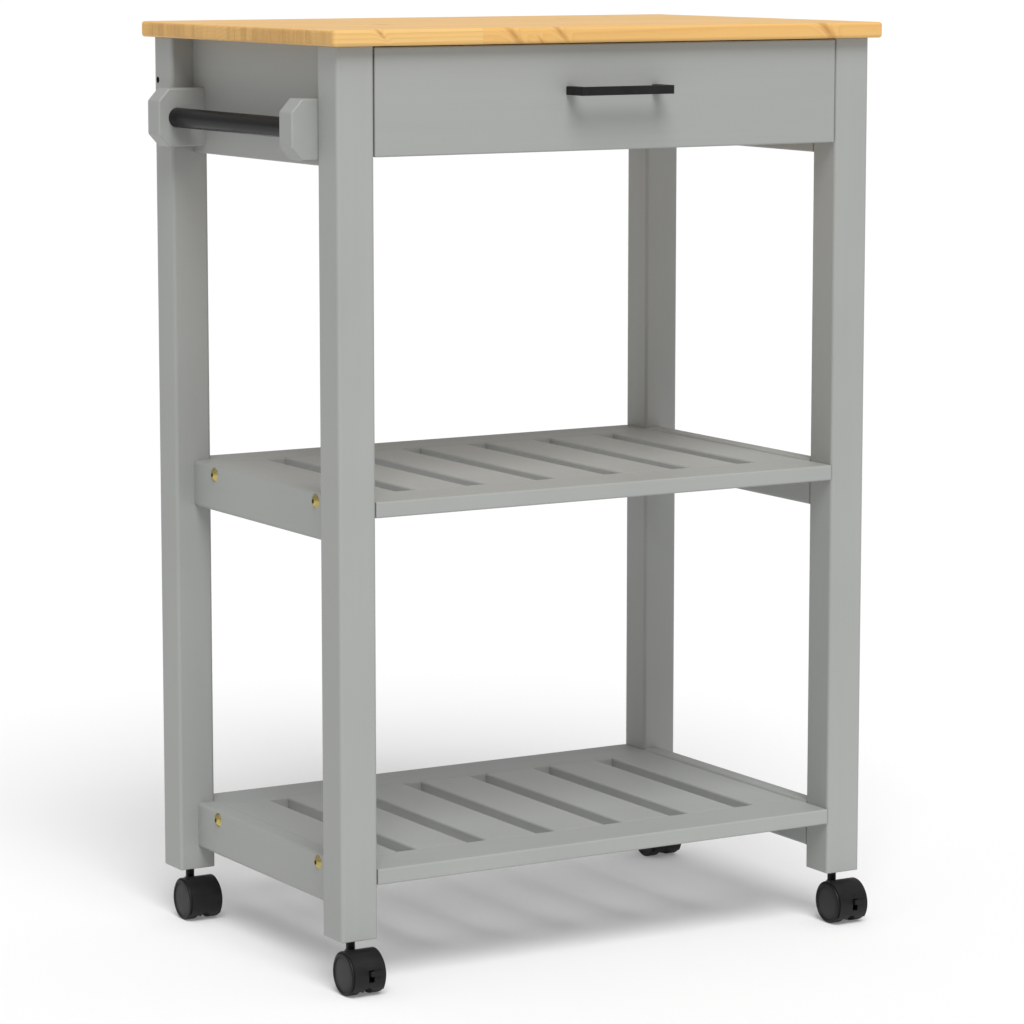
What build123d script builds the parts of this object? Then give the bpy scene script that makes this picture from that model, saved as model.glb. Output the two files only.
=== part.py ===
"""Kitchen island cart: a painted frame on four twin-wheel casters, a pine worktop,
one drawer, a towel rail on the left side and two slatted shelves.

Millimetres, +Z up. The drawer faces -Y. The origin is on the floor, under the middle
of the whole cart's outline, towel rail and drawer handle included.
"""
from build123d import *
import math
import os

os.makedirs("parts", exist_ok=True)

# ---------------------------------------------------------------- driving dimensions
worktop_length = 600.0
worktop_depth = 400.0
worktop_thickness = 15.0
worktop_corner_radius = 4.0
worktop_edge_radius = 2.4
side_overhang = 9.0
front_overhang = 12.0

leg_length = 822.0
leg_size = 38.0
leg_edge_radius = 3.0
leg_foot_chamfer = 1.0

apron_height = 111.0
apron_thickness = 15.0
rail_thickness = 18.5
rail_height = 45.0
rail_above_panel = 1.5
board_edge_radius = 1.5

panel_thickness = 15.0
middle_shelf_height = 458.2
lower_shelf_height = 115.4
shelf_rail_width = 56.0
panel_end_gap = 0.4
slat_gap = 21.0
slat_count = 7
end_slat_trim = 4.3
slat_edge_radius = 1.2
tenon_length = 9.0
tenon_thickness = 6.0
tenon_shoulder = 6.0
tenon_clearance = 0.15

drawer_front_height = 99.0
drawer_front_thickness = 15.0
drawer_side_gap = 1.0
drawer_top_gap = 1.0
drawer_wall = 12.0
drawer_box_height = 70.0
drawer_back_gap = 26.0
drawer_box_drop = 19.0
drawer_bottom_thickness = 4.0
drawer_bottom_rise = 8.0
drawer_bottom_tongue = 5.0
drawer_dowel_inset = 10.0
groove_clearance = 0.2

runner_width = 18.0
runner_height = 12.0
runner_engagement = 5.0
runner_side_clearance = 1.0
runner_clearance = 0.6
runner_stop_length = 22.0
runner_screw_inset = 50.0

stretcher_width = 40.0
stretcher_thickness = 15.0
stretcher_setback = 1.0
stretcher_dowel_inset = 11.0

handle_length = 102.0
handle_bar = 8.0
handle_reach = 28.4
handle_below_worktop = 44.0
handle_corner_radius = 3.0
handle_edge_radius = 0.6

bracket_reach = 49.0
bracket_height = 56.0
bracket_thickness = 25.0
bracket_chamfer_out = 11.0
bracket_chamfer_up = 12.0
bracket_screw_spread = 40.0
towel_bar_below_worktop = 75.7
towel_bar_diameter = 19.0
towel_bar_setback = 20.0
towel_bar_socket = 10.0
towel_bar_clearance = 0.15

dowel_diameter = 8.0
dowel_length = 30.0
drawer_dowel_diameter = 6.0
drawer_dowel_length = 22.0
dowel_clearance = 0.05
dowel_end_clearance = 0.5

screw_diameter = 4.0
screw_head_diameter = 8.0
screw_head_height = 2.4
screw_clearance = 0.05
slot_length = 5.0
slot_width = 1.0
slot_depth = 1.2
wood_screw_length = 30.0
angle_screw_length = 11.0
handle_screw_length = 23.0
apron_screw_length = 45.0
apron_screw_from_top = 41.5
apron_screw_sink = 20.0
apron_screw_head_diameter = 5.8
apron_screw_head_height = 3.0
apron_screw_hole_diameter = 6.3

bolt_diameter = 6.0
bolt_length = 54.0
bolt_head_diameter = 14.0
bolt_head_height = 3.4
bolt_hex_across = 4.0
bolt_hex_depth = 2.2
bolt_from_slat_end = 27.0
bolt_hole_clearance = 0.2
nut_diameter = 10.0
nut_length = 12.0
nut_from_edge = 28.0
nut_clearance = 0.1

angle_leg = 19.0
angle_width = 18.0
angle_thickness = 1.6
angle_from_leg = 60.0

wheel_radius = 20.0
wheel_width = 12.0
wheel_gap = 12.0
wheel_edge_radius = 1.8
wheel_dish_depth = 0.8
wheel_rim_width = 3.4
wheel_bore_depth = 10.0
caster_trail = 17.5
hood_width = 32.0
hood_gap = 0.6
hood_wall = 1.2
hood_front_reach = 40.0
hood_back_reach = 22.0
web_floor_gap = 5.0
hood_arch_radius = 4.5
web_side_gap = 0.5
hood_leg_gap = 8.2
boss_rise = 0.2
axle_diameter = 5.0
axle_end_gap = 0.6
running_clearance = 0.06
swivel_diameter = 7.0
swivel_length = 22.0
swivel_end_gap = 1.0
stem_diameter = 8.5
stem_gap = 0.6
socket_diameter = 11.0
socket_length = 32.0
socket_wall_gap = 0.05

brake_hub_radius = 6.0
brake_arm_low = -1.0
brake_arm_high = 3.6
brake_side_gap = 0.6
brake_pocket_clearance = 0.5
brake_tab_high = 11.5
brake_tab_gap = 0.4
brake_tab_thickness = 3.2
brake_tab_start = 3.0
brake_tab_sweep = 11.0
brake_travel = 14.0
brake_slot_margin = 3.0

# ---------------------------------------------------------------- worked-out places
frame_half_length = worktop_length / 2 - side_overhang
frame_half_depth = worktop_depth / 2 - front_overhang
inner_half_length = frame_half_length - leg_size
inner_half_depth = frame_half_depth - leg_size
leg_x = frame_half_length - leg_size / 2
leg_y = frame_half_depth - leg_size / 2
hood_inner_radius = wheel_radius + hood_gap
hood_outer_radius = hood_inner_radius + hood_wall
stem_front = caster_trail - stem_diameter / 2
boss_height = wheel_radius + math.sqrt(hood_outer_radius**2 - stem_front**2) + boss_rise
caster_height = wheel_radius + hood_outer_radius + hood_leg_gap
leg_top = caster_height + leg_length
handle_height = leg_top - handle_below_worktop
towel_bar_height = leg_top - towel_bar_below_worktop
apron_bottom = leg_top - apron_height
apron_outer = inner_half_length + apron_thickness
apron_middle = inner_half_length + apron_thickness / 2
rail_outer = inner_half_length + rail_thickness
rail_middle = inner_half_length + rail_thickness / 2
back_apron_y = frame_half_depth - apron_thickness / 2
angle_from_middle = inner_half_depth - angle_from_leg

# The origin lies under the middle of the outline, and the frame's middle beside it.
left_reach = apron_outer + bracket_reach
right_reach = worktop_length / 2
front_reach = frame_half_depth + handle_reach
back_reach = worktop_depth / 2
frame_centre = Vector((left_reach - right_reach) / 2, (front_reach - back_reach) / 2, 0)

dowel_hole_radius = dowel_diameter / 2 + dowel_clearance
dowel_hole_depth = dowel_length / 2 + dowel_end_clearance
screw_hole_radius = screw_diameter / 2 + screw_clearance
bolt_hole_radius = bolt_diameter / 2 + bolt_hole_clearance
head_flare = (screw_head_diameter - screw_diameter) / 2 / screw_head_height
countersink_angle = 2 * math.degrees(math.atan(head_flare))

side_names = {-1: "left", 1: "right"}
end_names = {-1: "front", 1: "back"}
pair = (-1, 1)


def placed(x, y, z):
    """A point given from the frame's middle, in the model's own frame."""
    return frame_centre + Vector(x, y, z)


def level(z, x=0.0, y=0.0):
    """A horizontal plane at height z."""
    return Plane(placed(x, y, z))


def endwise(x, y=0.0, z=0.0):
    """An upright plane facing +X: its x runs along +Y and its y runs up."""
    return Plane(placed(x, y, z), x_dir=(0, 1, 0), z_dir=(1, 0, 0))


def frontal(y, x=0.0, z=0.0):
    """An upright plane facing the front: its x runs along +X and its y runs up."""
    return Plane(placed(x, y, z), x_dir=(1, 0, 0), z_dir=(0, -1, 0))


def drill(points, direction, radius, depth):
    """Cut round holes that start at the points and run along the direction."""
    for point in points:
        with Locations(Plane(placed(*point), z_dir=-Vector(*direction))):
            Hole(radius, depth)


def seats(points, direction):
    """Where fasteners stand: their own +Z runs along the direction."""
    return [Plane(placed(*point), z_dir=Vector(*direction)).location for point in points]


def save(piece, label):
    """Label a finished piece and write it as its own file."""
    piece.label = label
    export_step(piece, f"parts/{label}.step")


def countersink(points, direction, thickness):
    """Cut holes for countersunk screws through a board, from the points inwards."""
    for point in points:
        with Locations(Plane(placed(*point), z_dir=-Vector(*direction))):
            CounterSinkHole(
                screw_hole_radius,
                screw_head_diameter / 2 + screw_clearance,
                thickness + screw_clearance,
                counter_sink_angle=countersink_angle,
            )


# ---------------------------------------------------------------- where fasteners go
def apron_dowel_heights():
    """Two dowels in each end of a side apron."""
    return [apron_bottom + apron_height * share for share in (0.25, 0.75)]


def rail_top(shelf_height):
    """The side rails stand a little above the shelf that they hold."""
    return shelf_height + rail_above_panel


def rail_dowel_heights(shelf_height):
    """Two dowels in each end of a shelf's side rail."""
    return [rail_top(shelf_height) - rail_height * share for share in (0.25, 0.75)]


shelf_heights = {"lower": lower_shelf_height, "middle": middle_shelf_height}
stretcher_middle_y = (
    stretcher_setback + drawer_front_thickness + stretcher_width / 2 - frame_half_depth
)
stretcher_dowel = (
    stretcher_middle_y - stretcher_width / 2 + stretcher_dowel_inset,
    leg_top - stretcher_thickness / 2,
)
apron_screw_heights = (leg_top - apron_screw_from_top, apron_bottom + apron_screw_from_top)

# ---------------------------------------------------------------- worktop
angle_places = [(side, spot * angle_from_middle) for side in pair for spot in pair]
angle_screw_x = inner_half_length - angle_leg / 2 - angle_thickness / 2
angle_screw_z = leg_top - angle_leg / 2 - angle_thickness / 2

with BuildPart() as worktop:
    with BuildSketch(level(leg_top)):
        RectangleRounded(worktop_length, worktop_depth, worktop_corner_radius)
    extrude(amount=worktop_thickness)
    for face in (worktop.faces().sort_by(Axis.Z)[-1], worktop.faces().sort_by(Axis.Z)[0]):
        fillet(face.edges(), worktop_edge_radius)
    worktop_pilots = [(side * angle_screw_x, y, leg_top) for side, y in angle_places]
    drill(worktop_pilots, (0, 0, 1), screw_hole_radius, angle_screw_length)
save(worktop.part, "worktop")


# ---------------------------------------------------------------- legs
def make_leg(side, end):
    """One square leg, with the holes that its neighbours and its caster need."""
    x, y = side * leg_x, end * leg_y
    inner_y = end * inner_half_depth
    with BuildPart() as leg:
        with BuildSketch(level(caster_height, x, y)):
            RectangleRounded(leg_size, leg_size, leg_edge_radius)
        extrude(amount=leg_length)
        chamfer(leg.faces().sort_by(Axis.Z)[0].edges(), leg_foot_chamfer)
        drill([(x, y, caster_height)], (0, 0, 1), socket_diameter / 2 + socket_wall_gap, socket_length)
        apron_dowels = [(side * apron_middle, inner_y, z) for z in apron_dowel_heights()]
        rail_dowels = [
            (side * rail_middle, inner_y, z)
            for height in shelf_heights.values()
            for z in rail_dowel_heights(height)
        ]
        drill(apron_dowels + rail_dowels, (0, end, 0), dowel_hole_radius, dowel_hole_depth)
        if end_names[end] == "front":
            stretcher_end = (side * inner_half_length, *stretcher_dowel)
            drill([stretcher_end], (side, 0, 0), dowel_hole_radius, dowel_hole_depth)
        else:
            outside = [(side * frame_half_length, back_apron_y, z) for z in apron_screw_heights]
            drill(outside, (-side, 0, 0), apron_screw_hole_diameter / 2, apron_screw_sink)
            drill(outside, (-side, 0, 0), screw_hole_radius, leg_size + screw_clearance)
    return leg.part


for end in pair:
    for side in pair:
        save(make_leg(side, end), f"leg_{end_names[end]}_{side_names[side]}")

# ---------------------------------------------------------------- aprons and front stretcher
bracket_y = inner_half_depth - bracket_thickness / 2
bracket_screw_heights = [towel_bar_height + spot * bracket_screw_spread / 2 for spot in pair]
bracket_screw_places = [(spot * bracket_y, z) for spot in pair for z in bracket_screw_heights]
drawer_box_top = leg_top - drawer_box_drop
drawer_box_bottom = drawer_box_top - drawer_box_height
runner_middle = (drawer_box_top + drawer_box_bottom) / 2
runner_screw_y = [spot * (inner_half_depth - runner_screw_inset) for spot in pair]
runner_screw_grip = wood_screw_length - runner_width


def make_side_apron(side):
    """A side apron between a front and a back leg, flush with their inner faces."""
    with BuildPart() as apron:
        with BuildSketch(level(apron_bottom, side * apron_middle)):
            Rectangle(apron_thickness, 2 * inner_half_depth)
        extrude(amount=apron_height)
        fillet(apron.faces().sort_by(Axis.Z)[0].edges().filter_by(Axis.Y), board_edge_radius)
        for end in pair:
            ends = [(side * apron_middle, end * inner_half_depth, z) for z in apron_dowel_heights()]
            drill(ends, (0, -end, 0), dowel_hole_radius, dowel_hole_depth)
        inner = side * inner_half_length
        pilots = [(inner, y, runner_middle) for y in runner_screw_y]
        drill(pilots, (side, 0, 0), screw_hole_radius, runner_screw_grip)
        angle_pilots = [(inner, spot * angle_from_middle, angle_screw_z) for spot in pair]
        drill(angle_pilots, (side, 0, 0), screw_hole_radius, angle_screw_length)
        if side_names[side] == "left":
            bracket_screws = [(inner, y, z) for y, z in bracket_screw_places]
            countersink(bracket_screws, (side, 0, 0), apron_thickness)
    return apron.part


for side in pair:
    save(make_side_apron(side), f"apron_{side_names[side]}")

apron_screw_grip = apron_screw_sink + apron_screw_length - leg_size
with BuildPart() as apron_back:
    with BuildSketch(level(apron_bottom, 0, back_apron_y)):
        Rectangle(2 * inner_half_length, apron_thickness)
    extrude(amount=apron_height)
    fillet(apron_back.faces().sort_by(Axis.Z)[0].edges().filter_by(Axis.X), board_edge_radius)
    for side in pair:
        ends = [(side * inner_half_length, back_apron_y, z) for z in apron_screw_heights]
        drill(ends, (-side, 0, 0), screw_hole_radius, apron_screw_grip)
save(apron_back.part, "apron_back")

with BuildPart() as front_stretcher:
    with BuildSketch(level(leg_top - stretcher_thickness, 0, stretcher_middle_y)):
        Rectangle(2 * inner_half_length, stretcher_width)
    extrude(amount=stretcher_thickness)
    for side in pair:
        end = (side * inner_half_length, *stretcher_dowel)
        drill([end], (-side, 0, 0), dowel_hole_radius, dowel_hole_depth)
save(front_stretcher.part, "front_stretcher")


# ---------------------------------------------------------------- drawer runners
def make_runner(side):
    """A hardwood strip on the inside of a side apron, which the drawer side rides on."""
    with BuildPart() as runner:
        with BuildSketch(level(runner_middle - runner_height / 2, side * runner_axis)):
            Rectangle(runner_width, 2 * inner_half_depth)
        extrude(amount=runner_height)
        fillet(runner.edges().filter_by(Axis.Y), board_edge_radius)
        inside = side * (inner_half_length - runner_width)
        screws = [(inside, y, runner_middle) for y in runner_screw_y]
        countersink(screws, (side, 0, 0), runner_width)
    return runner.part


runner_axis = inner_half_length - runner_width / 2
for side in pair:
    save(make_runner(side), f"drawer_runner_{side_names[side]}")

# ---------------------------------------------------------------- drawer
drawer_front_half = inner_half_length - drawer_side_gap
drawer_front_top = leg_top - drawer_top_gap
drawer_front_y = drawer_front_thickness - frame_half_depth
drawer_outer = inner_half_length - runner_width + runner_engagement
drawer_inner = drawer_outer - drawer_wall
drawer_back_y = frame_half_depth - apron_thickness - drawer_back_gap
drawer_box_length = drawer_back_y - drawer_front_y
drawer_middle_y = (drawer_front_y + drawer_back_y) / 2
drawer_floor = drawer_box_bottom + drawer_bottom_rise
drawer_floor_top = drawer_floor + drawer_bottom_thickness
bottom_groove = drawer_bottom_thickness + 2 * groove_clearance
bottom_groove_z = drawer_floor + drawer_bottom_thickness / 2
runner_groove_depth = runner_engagement + runner_side_clearance
runner_groove = runner_height + 2 * runner_clearance
handle_post_x = handle_length / 2 - handle_bar / 2
side_middle = drawer_outer - drawer_wall / 2
drawer_dowel_heights = (
    drawer_floor_top + drawer_dowel_inset,
    drawer_box_top - drawer_dowel_inset,
)
drawer_dowel_radius = drawer_dowel_diameter / 2 + dowel_clearance
drawer_dowel_depth = drawer_dowel_length / 2 + dowel_end_clearance

with BuildPart() as drawer_front:
    with BuildSketch(frontal(drawer_front_y, 0, drawer_front_top - drawer_front_height / 2)):
        Rectangle(2 * drawer_front_half, drawer_front_height)
    extrude(amount=drawer_front_thickness)
    fillet(drawer_front.faces().sort_by(Axis.Y)[0].edges(), board_edge_radius)
    with BuildSketch(frontal(drawer_front_y, 0, bottom_groove_z)):
        Rectangle(2 * (drawer_inner + drawer_bottom_tongue + groove_clearance), bottom_groove)
    extrude(amount=drawer_bottom_tongue + groove_clearance, mode=Mode.SUBTRACT)
    handle_holes = [(side * handle_post_x, drawer_front_y, handle_height) for side in pair]
    drill(handle_holes, (0, -1, 0), screw_hole_radius, drawer_front_thickness)
    for side in pair:
        places = [(side * side_middle, drawer_front_y, z) for z in drawer_dowel_heights]
        drill(places, (0, -1, 0), drawer_dowel_radius, drawer_dowel_depth)
save(drawer_front.part, "drawer_front")

drawer_screw_heights = (
    drawer_floor_top + screw_head_diameter,
    drawer_box_top - screw_head_diameter,
)


def make_drawer_side(side):
    """A drawer side, grooved outside for its runner and inside for the drawer bottom."""
    with BuildPart() as board:
        with BuildSketch(level(drawer_box_bottom, side * side_middle, drawer_middle_y)):
            Rectangle(drawer_wall, drawer_box_length)
        extrude(amount=drawer_box_height)
        fillet(board.faces().sort_by(Axis.Z)[-1].edges().filter_by(Axis.Y), board_edge_radius)
        groove_length = drawer_box_length - runner_stop_length
        groove_y = drawer_back_y - groove_length / 2
        groove_x = side * (drawer_outer - runner_groove_depth / 2)
        with BuildSketch(level(runner_middle - runner_groove / 2, groove_x, groove_y)):
            Rectangle(runner_groove_depth, groove_length)
        extrude(amount=runner_groove, mode=Mode.SUBTRACT)
        tongue_x = side * (drawer_inner + (drawer_bottom_tongue + groove_clearance) / 2)
        with BuildSketch(level(drawer_floor - groove_clearance, tongue_x, drawer_middle_y)):
            Rectangle(drawer_bottom_tongue + groove_clearance, drawer_box_length)
        extrude(amount=bottom_groove, mode=Mode.SUBTRACT)
        front_places = [(side * side_middle, drawer_front_y, z) for z in drawer_dowel_heights]
        drill(front_places, (0, 1, 0), drawer_dowel_radius, drawer_dowel_depth)
        back_y = drawer_back_y - drawer_wall / 2
        screws = [(side * drawer_outer, back_y, z) for z in drawer_screw_heights]
        countersink(screws, (-side, 0, 0), drawer_wall)
    return board.part


for side in pair:
    save(make_drawer_side(side), f"drawer_side_{side_names[side]}")

drawer_back_height = drawer_box_top - drawer_floor_top - groove_clearance
with BuildPart() as drawer_back:
    with BuildSketch(
        level(drawer_floor_top + groove_clearance, 0, drawer_back_y - drawer_wall / 2)
    ):
        Rectangle(2 * drawer_inner, drawer_wall)
    extrude(amount=drawer_back_height)
    fillet(drawer_back.faces().sort_by(Axis.Z)[-1].edges().filter_by(Axis.X), board_edge_radius)
    for side in pair:
        ends = [
            (side * drawer_inner, drawer_back_y - drawer_wall / 2, z) for z in drawer_screw_heights
        ]
        drill(ends, (-side, 0, 0), screw_hole_radius, wood_screw_length - drawer_wall)
save(drawer_back.part, "drawer_back")

bottom_front_y = drawer_front_y - drawer_bottom_tongue
with BuildPart() as drawer_bottom:
    with BuildSketch(level(drawer_floor, 0, (bottom_front_y + drawer_back_y) / 2)):
        Rectangle(2 * (drawer_inner + drawer_bottom_tongue), drawer_back_y - bottom_front_y)
    extrude(amount=drawer_bottom_thickness)
save(drawer_bottom.part, "drawer_bottom")

with BuildPart() as drawer_handle:
    with BuildSketch(level(handle_height - handle_bar / 2, 0, -frame_half_depth - handle_reach / 2)):
        Rectangle(handle_length, handle_reach)
    extrude(amount=handle_bar)
    outer_corners = drawer_handle.edges().filter_by(Axis.Z).group_by(Axis.Y)[0]
    fillet(outer_corners, handle_corner_radius)
    inside_y = -frame_half_depth - (handle_reach - handle_bar) / 2
    with BuildSketch(level(handle_height - handle_bar / 2, 0, inside_y)):
        Rectangle(handle_length - 2 * handle_bar, handle_reach - handle_bar)
    extrude(amount=handle_bar, mode=Mode.SUBTRACT)
    for face in drawer_handle.faces().filter_by(Axis.Z):
        fillet(face.edges(), handle_edge_radius)
    posts = [(side * handle_post_x, -frame_half_depth, handle_height) for side in pair]
    post_depth = handle_screw_length - drawer_front_thickness
    drill(posts, (0, -1, 0), screw_hole_radius, post_depth)
save(drawer_handle.part, "drawer_handle")


# ---------------------------------------------------------------- towel rail
towel_bar_x = -(left_reach - towel_bar_setback)


def make_bracket(end):
    """A painted block with sloped outer corners, which holds one end of the towel bar."""
    with BuildPart() as bracket:
        with BuildSketch(frontal(end * bracket_y + bracket_thickness / 2, 0, towel_bar_height)):
            half = bracket_height / 2
            with BuildLine():
                Polyline(
                    (-apron_outer, -half),
                    (-apron_outer, half),
                    (bracket_chamfer_out - left_reach, half),
                    (-left_reach, half - bracket_chamfer_up),
                    (-left_reach, bracket_chamfer_up - half),
                    (bracket_chamfer_out - left_reach, -half),
                    close=True,
                )
            make_face()
        extrude(amount=bracket_thickness)
        outer_edges = bracket.edges().group_by(Axis.X)[:-1]
        fillet([edge for group in outer_edges for edge in group], board_edge_radius)
        inner_face_y = end * (inner_half_depth - bracket_thickness)
        socket = (towel_bar_x, inner_face_y, towel_bar_height)
        socket_radius = towel_bar_diameter / 2 + towel_bar_clearance
        drill([socket], (0, end, 0), socket_radius, towel_bar_socket + towel_bar_clearance)
        pilots = [(-apron_outer, end * bracket_y, z) for z in bracket_screw_heights]
        drill(pilots, (-1, 0, 0), screw_hole_radius, wood_screw_length - apron_thickness)
    return bracket.part


for end in pair:
    save(make_bracket(end), f"towel_bracket_{end_names[end]}")

towel_bar_half = inner_half_depth - bracket_thickness + towel_bar_socket
with BuildPart() as towel_bar:
    with BuildSketch(frontal(0, towel_bar_x, towel_bar_height)):
        Circle(towel_bar_diameter / 2)
    extrude(amount=towel_bar_half, both=True)
    chamfer(towel_bar.edges().filter_by(GeomType.CIRCLE), board_edge_radius / 2)
save(towel_bar.part, "towel_bar")

# ---------------------------------------------------------------- slatted shelves
panel_half_length = inner_half_length - panel_end_gap
slat_half_length = frame_half_depth - shelf_rail_width
slat_pitch = (2 * panel_half_length + slat_gap + 2 * end_slat_trim) / slat_count
bolt_from_middle = slat_half_length - bolt_from_slat_end


def slat_edges(index):
    """The left and right side of one slat: the end ones reach the side rails."""
    last = slat_count - 1
    half_width = (slat_pitch - slat_gap) / 2
    middle = (index - last / 2) * slat_pitch
    left = -panel_half_length if index == 0 else middle - half_width
    right = panel_half_length if index == last else middle + half_width
    return left, right


def make_shelf_rail(height, end):
    """A shelf's front or back board, mortised for the slats."""
    middle_y = end * (frame_half_depth - shelf_rail_width / 2)
    with BuildPart() as rail:
        with BuildSketch(level(height - panel_thickness, 0, middle_y)):
            Rectangle(2 * panel_half_length, shelf_rail_width)
        extrude(amount=panel_thickness)
        outer_edges = rail.edges().filter_by(Axis.X).group_by(Axis.Y)[-1 if end > 0 else 0]
        fillet(outer_edges, board_edge_radius)
        mortise_depth = tenon_length + tenon_clearance
        mortise_height = tenon_thickness + 2 * tenon_clearance
        mortise_y = end * (slat_half_length + mortise_depth / 2)
        for index in range(slat_count):
            left, right = slat_edges(index)
            mortise_width = right - left - 2 * tenon_shoulder + 2 * tenon_clearance
            low = height - panel_thickness / 2 - mortise_height / 2
            with BuildSketch(level(low, (left + right) / 2, mortise_y)):
                Rectangle(mortise_width, mortise_depth)
            extrude(amount=mortise_height, mode=Mode.SUBTRACT)
    return rail.part


def make_slats(height):
    """The seven slats of a shelf, tenoned at both ends."""
    with BuildPart() as slats:
        for index in range(slat_count):
            left, right = slat_edges(index)
            middle = (left + right) / 2
            with BuildSketch(level(height - panel_thickness, middle)):
                Rectangle(right - left, 2 * slat_half_length)
            extrude(amount=panel_thickness)
        long_edges = slats.edges().filter_by(Axis.Y)
        fillet(long_edges, slat_edge_radius)
        for index in range(slat_count):
            left, right = slat_edges(index)
            middle = (left + right) / 2
            tenon_low = height - panel_thickness / 2 - tenon_thickness / 2
            with BuildSketch(level(tenon_low, middle)):
                Rectangle(right - left - 2 * tenon_shoulder, 2 * (slat_half_length + tenon_length))
            extrude(amount=tenon_thickness)
        bolt_z = height - panel_thickness / 2
        for side in pair:
            starts = [(side * panel_half_length, spot * bolt_from_middle, bolt_z) for spot in pair]
            depth = bolt_length - rail_thickness + bolt_hole_clearance
            drill(starts, (-side, 0, 0), bolt_hole_radius, depth)
            nut_x = side * (inner_half_length - nut_from_edge)
            nut_starts = [
                (nut_x, spot * bolt_from_middle, height - panel_thickness) for spot in pair
            ]
            nut_hole = nut_diameter / 2 + nut_clearance
            drill(nut_starts, (0, 0, 1), nut_hole, nut_length + nut_clearance)
    return slats.part


def make_side_rail(height, side):
    """A rail between a front and a back leg, bolted to the end of a shelf."""
    with BuildPart() as rail:
        with BuildSketch(level(rail_top(height) - rail_height, side * rail_middle)):
            Rectangle(rail_thickness, 2 * inner_half_depth)
        extrude(amount=rail_height)
        fillet(rail.edges().filter_by(Axis.Y), board_edge_radius)
        for end in pair:
            places = [
                (side * rail_middle, end * inner_half_depth, z) for z in rail_dowel_heights(height)
            ]
            drill(places, (0, -end, 0), dowel_hole_radius, dowel_hole_depth)
        bolt_z = height - panel_thickness / 2
        starts = [(side * rail_outer, spot * bolt_from_middle, bolt_z) for spot in pair]
        drill(starts, (-side, 0, 0), bolt_hole_radius, rail_thickness)
    return rail.part


for name, height in shelf_heights.items():
    for end in pair:
        save(make_shelf_rail(height, end), f"{name}_shelf_{end_names[end]}_rail")
    save(make_slats(height), f"{name}_shelf_slats")
    for side in pair:
        save(make_side_rail(height, side), f"{name}_shelf_side_rail_{side_names[side]}")


# ---------------------------------------------------------------- fasteners
def make_dowel(diameter, length):
    """A chamfered wooden dowel, centred on the origin along Z."""
    with BuildPart() as dowel:
        with BuildSketch(Plane.XY.offset(-length / 2)):
            Circle(diameter / 2)
        extrude(amount=length)
        chamfer(dowel.edges().filter_by(GeomType.CIRCLE), diameter / 8)
    return dowel.part


def make_countersunk_screw(length):
    """A flat-headed wood screw along +Z, its head's face at the origin."""
    with BuildPart() as screw:
        with BuildSketch(Plane.XZ):
            with BuildLine():
                Polyline(
                    (0, 0),
                    (screw_head_diameter / 2, 0),
                    (screw_diameter / 2, screw_head_height),
                    (screw_diameter / 2, length - screw_diameter),
                    (screw_diameter / 8, length),
                    (0, length),
                    close=True,
                )
            make_face()
        revolve(axis=Axis.Z)
        with BuildSketch(Plane.XY):
            Rectangle(slot_length, slot_width)
            Rectangle(slot_width, slot_length)
        extrude(amount=slot_depth, mode=Mode.SUBTRACT)
    return screw.part


def make_pan_screw(length, head_diameter, head_height):
    """A round-headed screw along +Z, the underside of its head at the origin."""
    with BuildPart() as screw:
        with BuildSketch(Plane.XY.offset(-head_height)):
            Circle(head_diameter / 2)
        extrude(amount=head_height)
        fillet(screw.edges().group_by(Axis.Z)[0], head_height / 2)
        with BuildSketch():
            Circle(screw_diameter / 2)
        extrude(amount=length)
        chamfer(screw.edges().group_by(Axis.Z)[-1], screw_diameter / 5)
        with BuildSketch(Plane.XY.offset(-head_height)):
            Rectangle(slot_length, slot_width)
            Rectangle(slot_width, slot_length)
        extrude(amount=slot_depth, mode=Mode.SUBTRACT)
    return screw.part


def make_shelf_bolt():
    """A domed furniture bolt with a hexagon socket, along +Z from under its head."""
    dome_radius = (bolt_head_diameter**2 / 4 + bolt_head_height**2) / (2 * bolt_head_height)
    with BuildPart() as bolt:
        with BuildSketch(Plane.XZ):
            with BuildLine():
                rim = (bolt_head_diameter / 2, 0)
                RadiusArc((0, -bolt_head_height), rim, -dome_radius)
                Line(rim, (bolt_diameter / 2, 0))
                Line((bolt_diameter / 2, 0), (bolt_diameter / 2, bolt_length))
                Line((bolt_diameter / 2, bolt_length), (0, bolt_length))
                Line((0, bolt_length), (0, -bolt_head_height))
            make_face()
        revolve(axis=Axis.Z)
        chamfer(bolt.edges().group_by(Axis.Z)[-1], bolt_diameter / 8)
        with BuildSketch(Plane.XY.offset(-bolt_head_height)):
            RegularPolygon(bolt_hex_across / 2, 6, major_radius=False)
        extrude(amount=bolt_hex_depth, mode=Mode.SUBTRACT)
    return bolt.part


def save_group(fastener, places, label):
    """Write many copies of one fastener as one group of separate solids."""
    with BuildPart() as group:
        with Locations(*places):
            add(fastener)
    save(group.part, label)


dowel_places = []
for side in pair:
    for end in pair:
        joints = [(side * apron_middle, end * inner_half_depth, z) for z in apron_dowel_heights()]
        for height in shelf_heights.values():
            joints += [
                (side * rail_middle, end * inner_half_depth, z) for z in rail_dowel_heights(height)
            ]
        dowel_places += seats(joints, (0, end, 0))
    dowel_places += seats([(side * inner_half_length, *stretcher_dowel)], (side, 0, 0))
save_group(make_dowel(dowel_diameter, dowel_length), dowel_places, "dowels")

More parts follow.
